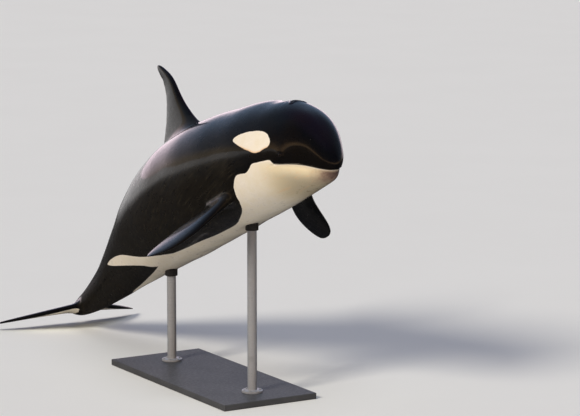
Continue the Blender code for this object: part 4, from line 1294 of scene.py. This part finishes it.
# Where these set in: shares of facing away from the camera, and heights up the surroundings
BESIDE = (0.25, -0.25)
BEHIND = (-0.50, -0.93)
LOW_BAND = (0.02, 0.16)
LOW_BAND_BEHIND = (0.04, 0.30)
OVERHEAD_FROM = (0.60, 0.98)
FLOOR_COLOURS = ((0.86, 0.87, 0.83), (0.89, 0.90, 0.86))
FLOOR_IN_SKIN = (0.006, 0.005, 0.005)
FLOOR_DARK_FROM = (-22.0, -9.0)
FLOOR_DARK_SHARE = 0.95
FLOOR_HALF = 150.0
FLOOR_LEVEL = -0.001
CAMERA_REACH = 500.0
# Azimuth and elevation in degrees, strength, colour, and how wide the light is in degrees
LIGHTS = {"key": (18.0, 35.0, 2.40, (1.0, 0.93, 0.84), 16.0),
          "fill": (75.0, 60.0, 0.9, (0.92, 0.95, 1.0), 40.0)}


def skin_finish():
    """Wet skin, black above and cream below, with its streaks, scratches and grain, painted sheen on the
    flank and painted shade in its hollows.
    """
    finish = Finish("orca_skin", ior=1.36, coat_weight=1.0, coat_roughness=0.07, coat_ior=1.33,
                    specular_ior_level=0.32)
    place = finish.stored("straight", "Vector")
    apart = finish.add("ShaderNodeSeparateXYZ", {"Vector": place}, "X").node
    x, z = apart.outputs["X"], apart.outputs["Z"]
    clouds = finish.noise(place, 2.2, 5.0)
    mottle = finish.noise(place, 14.0, 6.0, 0.62)
    grain = finish.noise(place, 220.0, 3.0, 0.6)
    streaks = finish.noise(finish.stretched(place, *STREAKS_DRAWN), 3.0, 7.0, 0.66, 0.3)
    hair = finish.noise(finish.stretched(place, *HAIR_DRAWN), 3.0, 5.0, 0.62, 0.2)

    black = black_colour(finish, place, x, z, clouds, mottle, streaks, hair)
    white = white_colour(finish, x, z, clouds, mottle, streaks)
    ragged = finish.times(finish.maths("SUBTRACT", finish.noise(place, 40.0, 4.0), 0.5), RAGGED_EDGE)
    white_share = finish.remap(finish.plus(finish.stored("white"), ragged), *MARKING_EDGE)
    colour = finish.blend(white_share, black, white)
    # Painted shade: the mouth's groove, the blowhole's slot and the opening between the lids are darkened
    colour = finish.blend(finish.stored("hollow"), colour, HOLLOW_PAINTED_SHADE)
    rough = finish.remap(mottle, 0.25, 0.75, 0.24, 0.38)
    rough = finish.plus(rough, finish.times(finish.remap(streaks, 0.45, 0.7), 0.10))
    finish.give(base_color=colour, roughness=rough)
    finish.roughen((clouds, 0.004), (mottle, 0.0005), (streaks, 0.0006), (hair, 0.0003), (grain, 0.00008))
    return finish.material


def black_colour(finish, place, x, z, clouds, mottle, streaks, hair):
    """Black, bluish and brownish in clouds, grey at the saddle, with painted sheen: olive and in pale
    streaks low on the flank, grey in streaks towards the tail.
    """
    black = finish.blend(finish.remap(clouds, 0.40, 0.66), BLACK_BLUE, BLACK_BROWN)
    on_body = finish.stored("on_body")
    # Painted sheen: the black turns grey in streaks from the middle of the body to the tail
    rear = finish.times(finish.remap(x, *REAR_PAINTED_SHEEN_BACK), on_body)
    black = finish.blend(finish.times(rear, finish.remap(streaks, 0.20, 0.80)), black, REAR_PAINTED_SHEEN)
    # Painted sheen low on the flank: an olive tint in streaks, and pale olive wet-sheen streaks along fine
    # lines
    low_flank = finish.times(finish.remap(z, *OLIVE_SHEEN_UP), finish.remap(x, *OLIVE_SHEEN_BACK), on_body)
    olive_sheen = finish.times(low_flank, finish.remap(streaks, 0.15, 0.70))
    black = finish.blend(olive_sheen, black, OLIVE_PAINTED_SHEEN)
    streak_sheen = finish.times(finish.remap(hair, 0.54, 0.70), finish.remap(streaks, 0.30, 0.60))
    black = finish.blend(finish.times(low_flank, streak_sheen), black, OLIVE_STREAK_PAINTED_SHEEN)
    rake = finish.noise(finish.stretched(place, *RAKES_DRAWN), 2.0, 2.0, 0.5, 0.25)
    raked = finish.remap(finish.noise(place, 3.4, 2.0), 0.58, 0.68)
    scratch = finish.times(finish.remap(rake, 0.66, 0.72), raked, SCRATCH_SHARE)
    black = finish.blend(scratch, black, SCRATCH_GREY)
    soft_edge = finish.times(finish.maths("SUBTRACT", streaks, 0.5), SADDLE_SOFTNESS)
    saddle_share = finish.remap(finish.plus(finish.stored("saddle"), soft_edge), *SADDLE_EDGE)
    saddle = finish.blend(finish.remap(mottle, 0.35, 0.70), SADDLE_GREY, SADDLE_DARK)
    return finish.blend(saddle_share, black, saddle)


def white_colour(finish, x, z, clouds, mottle, streaks):
    """Cream, paler at its edges and yellower on the chin, with painted shade down the chin and rose-brown
    painted shade at the front and tip of the jaw.
    """
    white = finish.blend(finish.remap(mottle, 0.30, 0.72), CREAM_PALE, CREAM)
    chin = finish.times(finish.remap(x, *CHIN_BACK), finish.remap(z, *CHIN_UP))
    yellow = finish.times(chin, finish.remap(clouds, 0.30, 0.58, 0.35, 1.0))
    white = finish.blend(yellow, white, CREAM_YELLOW)
    # Painted shade: the chin is darker lower down, where it faces down
    chin_shade_painted = finish.times(finish.remap(z, *CHIN_PAINTED_SHADE_UP, 0.0, 0.85), finish.remap(x, *CHIN_PAINTED_SHADE_BACK))
    white = finish.blend(chin_shade_painted, white, CHIN_PAINTED_SHADE)
    blush = finish.times(chin, finish.remap(streaks, 0.50, 0.72, 0.0, 0.35))
    white = finish.blend(blush, white, CREAM_ORANGE)
    edge = finish.remap(finish.stored("white"), *PALE_EDGE, 0.0, 0.85)
    white = finish.blend(edge, white, CREAM_PALE)
    in_patch = finish.remap(finish.stored("patch"), -0.004, 0.0)
    patch_edge = finish.remap(finish.stored("patch"), *PALE_EDGE)
    patch_foot = finish.times(patch_edge, finish.remap(z, *PATCH_FOOT_UP, 0.0, 0.8), in_patch)
    white = finish.blend(patch_foot, white, CREAM_ORANGE)
    # Painted shade at the front of the jaw, rose-brown and darker at its tip, its edge made uneven by noise
    uneven = finish.plus(x, finish.remap(clouds, 0.35, 0.65, -0.035, 0.035))
    uneven = finish.plus(uneven, finish.remap(mottle, 0.35, 0.65, -0.015, 0.015))
    front = finish.times(finish.remap(uneven, *JAW_FRONT_BACK), finish.remap(z, *JAW_FRONT_UP), 0.92)
    white = finish.blend(front, white, JAW_FRONT_PAINTED_SHADE)
    tip = finish.times(finish.remap(uneven, *JAW_TIP_BACK), finish.remap(z, *JAW_TIP_UP, 0.0, 0.9))
    return finish.blend(tip, white, JAW_TIP_PAINTED_SHADE)


def eye_finish():
    """Brown iris with a wide dark pupil, under a clear wet cornea."""
    finish = Finish("orca_eye", roughness=0.12, ior=1.38, coat_weight=1.0, coat_roughness=0.03,
                    coat_ior=1.38)
    gaze = finish.stored("gaze", "Vector")
    shaped = finish.stretched(gaze, PUPIL_SHAPE)
    from_pupil = finish.add("ShaderNodeVectorMath", {0: shaped}, "Value", operation="LENGTH")
    from_centre = finish.add("ShaderNodeVectorMath", {0: gaze}, "Value", operation="LENGTH")
    rays = finish.noise(finish.add("ShaderNodeVectorMath", {0: gaze}, operation="NORMALIZE"), 9.0, 4.0, 0.6)
    iris = finish.blend(finish.remap(rays, 0.35, 0.65), IRIS_BROWN, IRIS_PALE)
    iris = finish.blend(finish.remap(from_centre, *IRIS_RIM), iris, IRIS_DARK)
    white_of_eye = finish.blend(finish.noise(gaze, 8.0, 5.0), EYE_WHITE, EYE_WHITE_DARK)
    colour = finish.blend(finish.remap(from_centre, *IRIS_EDGE), iris, white_of_eye)
    finish.give(base_color=finish.blend(finish.remap(from_pupil, *PUPIL_EDGE), colour, PUPIL_BLACK))
    finish.roughen((finish.noise(gaze, 12.0, 3.0), 0.0002))
    return finish.material


def board_finish():
    """Satin charcoal paint, rolled on, a little worn at the edges."""
    finish = Finish("painted_board", ior=1.5)
    place = finish.add("ShaderNodeTexCoord", {}, "Object")
    clouds = finish.noise(place, 3.0, 5.0)
    rolled = finish.noise(place, 260.0, 3.0, 0.7)
    dust = finish.noise(place, 34.0, 8.0, 0.7)
    colour = finish.blend(finish.remap(clouds, 0.35, 0.65), BOARD_DARK, BOARD_PALE)
    colour = finish.blend(finish.remap(dust, 0.58, 0.80, 0.0, 0.3), colour, BOARD_DUST)
    edge = finish.remap(finish.add("ShaderNodeNewGeometry", {}, "Pointiness"), 0.53, 0.60, 0.0, 0.5)
    finish.give(base_color=finish.blend(edge, colour, BOARD_WORN),
                roughness=finish.remap(dust, 0.3, 0.7, 0.40, 0.56))
    finish.roughen((rolled, 0.00035), (clouds, 0.001))
    return finish.material


def steel_finish():
    """Steel brushed round its axis, under a clear satin lacquer."""
    finish = Finish("brushed_steel", metallic=0.45)
    place = finish.add("ShaderNodeTexCoord", {}, "Object")
    brushed = finish.noise(finish.stretched(place, (3.0, 3.0, 900.0)), 1.0, 4.0, 0.7)
    smudge = finish.noise(place, 9.0, 5.0)
    colour = finish.blend(finish.remap(brushed, 0.3, 0.7), STEEL_DARK, STEEL_PALE)
    colour = finish.blend(finish.remap(smudge, 0.55, 0.8, 0.0, 0.5), colour, STEEL_SMUDGE)
    smudged = finish.remap(smudge, 0.5, 0.8, 0.0, 0.12)
    rough = finish.plus(finish.remap(brushed, 0.3, 0.7, 0.26, 0.40), smudged)
    finish.give(base_color=colour, roughness=rough)
    finish.roughen((brushed, 0.0002))
    return finish.material


def rubber_finish():
    """Black rubber with a matt, slightly dusty face."""
    finish = Finish("rubber", ior=1.5)
    place = finish.add("ShaderNodeTexCoord", {}, "Object")
    dust = finish.noise(place, 60.0, 6.0, 0.7)
    finish.give(base_color=finish.blend(finish.remap(dust, 0.45, 0.75), RUBBER_BLACK, RUBBER_DUST),
                roughness=finish.remap(dust, 0.3, 0.7, 0.55, 0.75))
    finish.roughen((finish.noise(place, 500.0, 2.0), 0.0002))
    return finish.material


def floor_finish():
    """A plain pale floor. The skin mirrors it dark where it is near, and pale far behind the tail."""
    finish = Finish("pale_floor", roughness=0.6, ior=1.3, specular_ior_level=0.0)
    place = finish.add("ShaderNodeTexCoord", {}, "Object")
    colour = finish.blend(finish.noise(place, 0.6, 4.0), *FLOOR_COLOURS)
    mirrored = finish.add("ShaderNodeLightPath", {}, "Is Glossy Ray")
    along = finish.add("ShaderNodeSeparateXYZ", {"Vector": place}, "X")
    dark = finish.times(mirrored, finish.remap(along, *FLOOR_DARK_FROM, 0.0, FLOOR_DARK_SHARE))
    finish.give(base_color=finish.blend(dark, colour, FLOOR_IN_SKIN))
    return finish.material


# Eyes

def make_eye(word, side, material):
    """An eyeball with a raised cornea, its pole turned where it looks."""
    point, normal, back, up = eye_frame(side)
    centre = point - normal * EYE_SUNK
    points, gaze = [], []
    for row in range(EYE_ROWS + 1):
        tilt = math.pi * row / EYE_ROWS
        radius = EYE_RADIUS + CORNEA_RISE * math.exp(-(tilt / CORNEA_WIDTH) ** 2)
        for column in range(1 if row in (0, EYE_ROWS) else EYE_COLUMNS):
            turn = 2 * math.pi * column / EYE_COLUMNS
            across = back * math.cos(turn) + up * math.sin(turn)
            points.append(centre + radius * (normal * math.cos(tilt) + across * math.sin(tilt)))
            gaze.append((tilt * math.cos(turn), tilt * math.sin(turn), 0.0))
    faces = []
    last = len(points) - 1 - EYE_COLUMNS
    for column in range(EYE_COLUMNS):
        after = (column + 1) % EYE_COLUMNS
        faces.append((0, 1 + column, 1 + after))
        faces.append((last + column, len(points) - 1, last + after))
        for start in range(1, last, EYE_COLUMNS):
            under = start + EYE_COLUMNS
            faces.append((start + column, under + column, under + after, start + after))
    mesh = bpy.data.meshes.new("eyeball_" + word)
    mesh.from_pydata(posed(points).tolist(), [], faces)
    layer = mesh.attributes.new("gaze", "FLOAT_VECTOR", "POINT")
    layer.data.foreach_set("vector", np.array(gaze, np.float32).ravel())
    mesh.materials.append(material)
    eye = new_object("eyeball_" + word, mesh)
    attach(eye, "root")
    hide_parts("eye_" + word)


# Light, floor and camera

def direction(azimuth, elevation):
    """Direction to a place round the animal and above it, by angles in radians."""
    flat = math.cos(elevation)
    return Vector((math.sin(azimuth) * flat, -math.cos(azimuth) * flat, math.sin(elevation)))


def facing(towards):
    """Turn of a camera or light that stands in a direction and looks back."""
    return towards.to_track_quat("Z", "Y").to_euler()


def make_camera():
    """The camera at the photograph's angle and framing."""
    data = bpy.data.cameras.new("camera")
    data.sensor_width = SENSOR_WIDTH
    data.lens = PIXELS_PER_METRE * CAMERA_DISTANCE * SENSOR_WIDTH / PHOTO_WIDTH
    data.clip_end = CAMERA_REACH
    camera = bpy.data.objects.new("camera", data)
    bpy.context.scene.collection.objects.link(camera)
    back = direction(CAMERA_AZIMUTH, CAMERA_ELEVATION)
    camera.location = Vector(SNOUT_AT) + Vector(AIM_FROM_SNOUT) + back * CAMERA_DISTANCE
    camera.rotation_euler = facing(back)
    bpy.context.scene.camera = camera


def make_sun(name, azimuth, elevation, strength, colour, spread):
    """An even light from one side, as wide as its spread, that makes no highlight."""
    data = bpy.data.lights.new(name, "SUN")
    data.energy = strength
    data.color = colour
    data.angle = math.radians(spread)
    lamp = bpy.data.objects.new(name, data)
    bpy.context.scene.collection.objects.link(lamp)
    lamp.rotation_euler = facing(direction(math.radians(azimuth), math.radians(elevation)))
    lamp.visible_glossy = False


def make_surroundings():
    """A dim room, bright low behind the animal and in a thin warm line before it. Seen plain, it is pale."""
    world = bpy.data.worlds.new("room")
    world.use_nodes = True
    room = Nodes(world.node_tree)
    place = room.add("ShaderNodeTexCoord", {}, "Generated")
    front = direction(CAMERA_AZIMUTH, 0.0)
    towards = room.add("ShaderNodeVectorMath", {0: place, 1: front}, "Value", operation="DOT_PRODUCT")
    height = room.add("ShaderNodeSeparateXYZ", {"Vector": place}, "Z")
    beside, behind = room.remap(towards, *BESIDE), room.remap(towards, *BEHIND)
    low = room.blend(behind, room.blend(beside, FRONT_LOW, SIDE_LOW), BACK_LOW)
    high = room.blend(behind, room.blend(beside, FRONT_HIGH, SIDE_HIGH), BACK_HIGH)
    band, band_behind = room.remap(height, *LOW_BAND), room.remap(height, *LOW_BAND_BEHIND)
    above_band = room.plus(band, room.times(room.maths("SUBTRACT", band_behind, band), behind))
    light = room.blend(room.remap(height, *OVERHEAD_FROM), room.blend(above_band, low, high), OVERHEAD)
    light = room.blend(room.add("ShaderNodeLightPath", {}, "Is Camera Ray"), light, WALL_SEEN)
    room.feed(world.node_tree.nodes["Background"].inputs["Color"], light)
    bpy.context.scene.world = world


def make_floor():
    """The wide pale floor."""
    half, level = FLOOR_HALF, FLOOR_LEVEL
    corners = [(-half, -half, level), (half, -half, level), (half, half, level), (-half, half, level)]
    mesh = bpy.data.meshes.new("floor")
    mesh.from_pydata(corners, [], [(0, 1, 2, 3)])
    mesh.materials.append(floor_finish())
    floor = bpy.data.objects.new("floor", mesh)
    bpy.context.scene.collection.objects.link(floor)


def make_room():
    """Floor, surroundings and lights."""
    make_floor()
    make_surroundings()
    for name, settings in LIGHTS.items():
        make_sun(name, *settings)
    bpy.context.scene.view_settings.view_transform = "Standard"


# Everything

def make_skin():
    """The whole skin, joined, marked, and carried along the arch of the back."""
    body = make_body()
    fins = [(make_dorsal_fin(), DORSAL_FILLET), (make_flipper(1), FLIPPER_FILLET),
            (make_flipper(-1), FLIPPER_FILLET), (make_flukes(), FLUKE_FILLET)]
    join_fins(body, fins)
    ease_joins(body.data)
    mark_skin(body.data)
    body.data.vertices.foreach_set("co", posed(mesh_points(body.data)).ravel())
    body.data.materials.clear()
    body.data.materials.append(skin_finish())
    slots = np.zeros(len(body.data.polygons), np.int32)
    body.data.polygons.foreach_set("material_index", slots)
    body.data.update()
    body.data.shade_smooth()
    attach(body, "root")
    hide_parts("head", "lower_jaw", "chest", "abdomen", "tail_stock", "dorsal_fin",
                "flipper_left", "flipper_right", "fluke_left", "fluke_right")
    return body


def rounded(corners, radius, steps=4):
    """A closed outline with its corners rounded."""
    outline = []
    for before, corner, after in zip(np.roll(corners, 1, axis=0), corners, np.roll(corners, -1, axis=0)):
        start, end = (corner + (other - corner) * min(radius / np.linalg.norm(other - corner), 0.45)
                      for other in (before, after))
        for t in np.linspace(0.0, 1.0, steps + 1):
            outline.append((1 - t) ** 2 * start + 2 * t * (1 - t) * corner + t ** 2 * end)
    return outline


def belly_over(tree, place):
    """Height of the belly over a place on the floor."""
    return tree.ray_cast(Vector((place[0], place[1], FLANGE_TOP)), Vector((0.0, 0.0, 1.0)))[0].z


def ways_round():
    """Directions along the floor, evenly round."""
    turns = 2 * math.pi * np.arange(TURNS) / TURNS
    return np.stack([np.cos(turns), np.sin(turns)], axis=1)


def arc(centre, radius, start, end):
    """Points along an arc in a profile, between two angles in degrees."""
    turns = np.radians(np.linspace(start, end, ARC_POINTS))
    return [(centre[0] + radius * math.cos(t), centre[1] + radius * math.sin(t)) for t in turns]


def rod_loops(tree, x):
    """Loops of a rod with its flange, foot first, its top cut to the belly."""
    profile = [(FLANGE_RADIUS, ROD_FOOT)]
    profile += arc((FLANGE_RADIUS - FLANGE_ROUND, FLANGE_TOP - FLANGE_ROUND), FLANGE_ROUND, 0, 90)
    profile += arc((ROD_RADIUS + FLANGE_FILLET, FLANGE_TOP + FLANGE_FILLET), FLANGE_FILLET, 270, 180)
    ways = ways_round()
    loops = [[(x + way[0] * radius, way[1] * radius, height) for way in ways] for radius, height in profile]
    tops = [(x + way[0] * ROD_RADIUS, way[1] * ROD_RADIUS) for way in ways]
    return loops + [[(*place, belly_over(tree, place) - ROD_BELOW_BELLY) for place in tops]]


def sleeve_loops(tree, x):
    """Sections of the rubber sleeve that seats a rod's top against the belly."""
    ways = ways_round()
    inner = [belly_over(tree, (x, 0.0) + way * SLEEVE_INNER) for way in ways]
    outer = [belly_over(tree, (x, 0.0) + way * SLEEVE_OUTER) for way in ways]
    bottom = min(outer) - SLEEVE_BELOW
    loops = []
    for way, top_in, top_out in zip(ways, inner, outer):
        corners = np.array([(SLEEVE_INNER, bottom), (SLEEVE_INNER, top_in), (SLEEVE_OUTER, top_out),
                            (SLEEVE_OUTER, bottom)])
        loops.append([(x + way[0] * r, way[1] * r, z) for r, z in rounded(corners, SLEEVE_ROUND)])
    return loops


def bolt_loops(x, turn):
    """Loops of a washer and a six-sided bolt head on a flange."""
    centre = np.array([x + BOLT_CIRCLE * math.cos(turn), BOLT_CIRCLE * math.sin(turn), FLANGE_TOP])
    corner = 2 * math.pi / 6
    loops = []
    for radius, height, six_sided in ((WASHER_RADIUS, 0.0, False), (WASHER_RADIUS, WASHER_HEIGHT, False),
                                      (BOLT_RADIUS, WASHER_HEIGHT, True),
                                      (BOLT_RADIUS, BOLT_HEIGHT - BOLT_CHAMFER, True),
                                      (BOLT_RADIUS - BOLT_CHAMFER, BOLT_HEIGHT, True)):
        loop = []
        for angle in np.arange(BOLT_POINTS) * 2 * math.pi / BOLT_POINTS:
            within = angle % corner - corner / 2
            reach = radius * (math.cos(corner / 2) / math.cos(within) if six_sided else 1.0)
            loop.append(centre + (reach * math.cos(angle + turn), reach * math.sin(angle + turn), height))
        loops.append(loop)
    return loops


def stand_piece(name, runs, material, closed):
    """One mesh of several lofts, each a ring closed on itself or a stack with a cap at both ends."""
    points, faces = [], []
    for loops in runs:
        start, count = len(points), len(loops[0])
        points.extend(tuple(float(c) for c in point) for loop in loops for point in loop)
        for k in range(len(loops) if closed else len(loops) - 1):
            low, high = start + k * count, start + (k + 1) % len(loops) * count
            for i, after in enumerate(np.roll(range(count), -1).tolist()):
                faces.append((low + i, low + after, high + after, high + i))
        if not closed:
            last = start + (len(loops) - 1) * count
            faces.extend((tuple(range(start, start + count)), tuple(range(last, last + count))))
    mesh = bpy.data.meshes.new(name)
    mesh.from_pydata(points, [], faces)
    mesh.materials.append(material)
    piece = new_object(name, mesh)
    mesh.set_sharp_from_angle(angle=STAND_CREASE)
    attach(piece, "root")
    return piece


def dress_stand(body):
    """The board's paint, and the rods with bolts on their flanges and sleeves under the belly."""
    board, steel = board_finish(), steel_finish()
    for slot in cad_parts["stand_base"].material_slots:
        slot.material = board
    tree = surface_tree(body.data)
    for word, x in ROD_X.items():
        post = stand_piece("stand_post_" + word, [rod_loops(tree, x)], steel, False)
        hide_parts("stand_rod_" + word)
    stand_piece("stand_sleeves", [sleeve_loops(tree, x) for x in ROD_X.values()], rubber_finish(), True)
    turns = [BOLT_TURN + 2 * math.pi * i / BOLTS for i in range(BOLTS)]
    stand_piece("stand_bolts", [bolt_loops(x, turn) for x in ROD_X.values() for turn in turns], steel, False)


make_camera()
make_room()
body = make_skin()
eye_material = eye_finish()
for word, side in (("left", 1), ("right", -1)):
    make_eye(word, side, eye_material)
dress_stand(body)
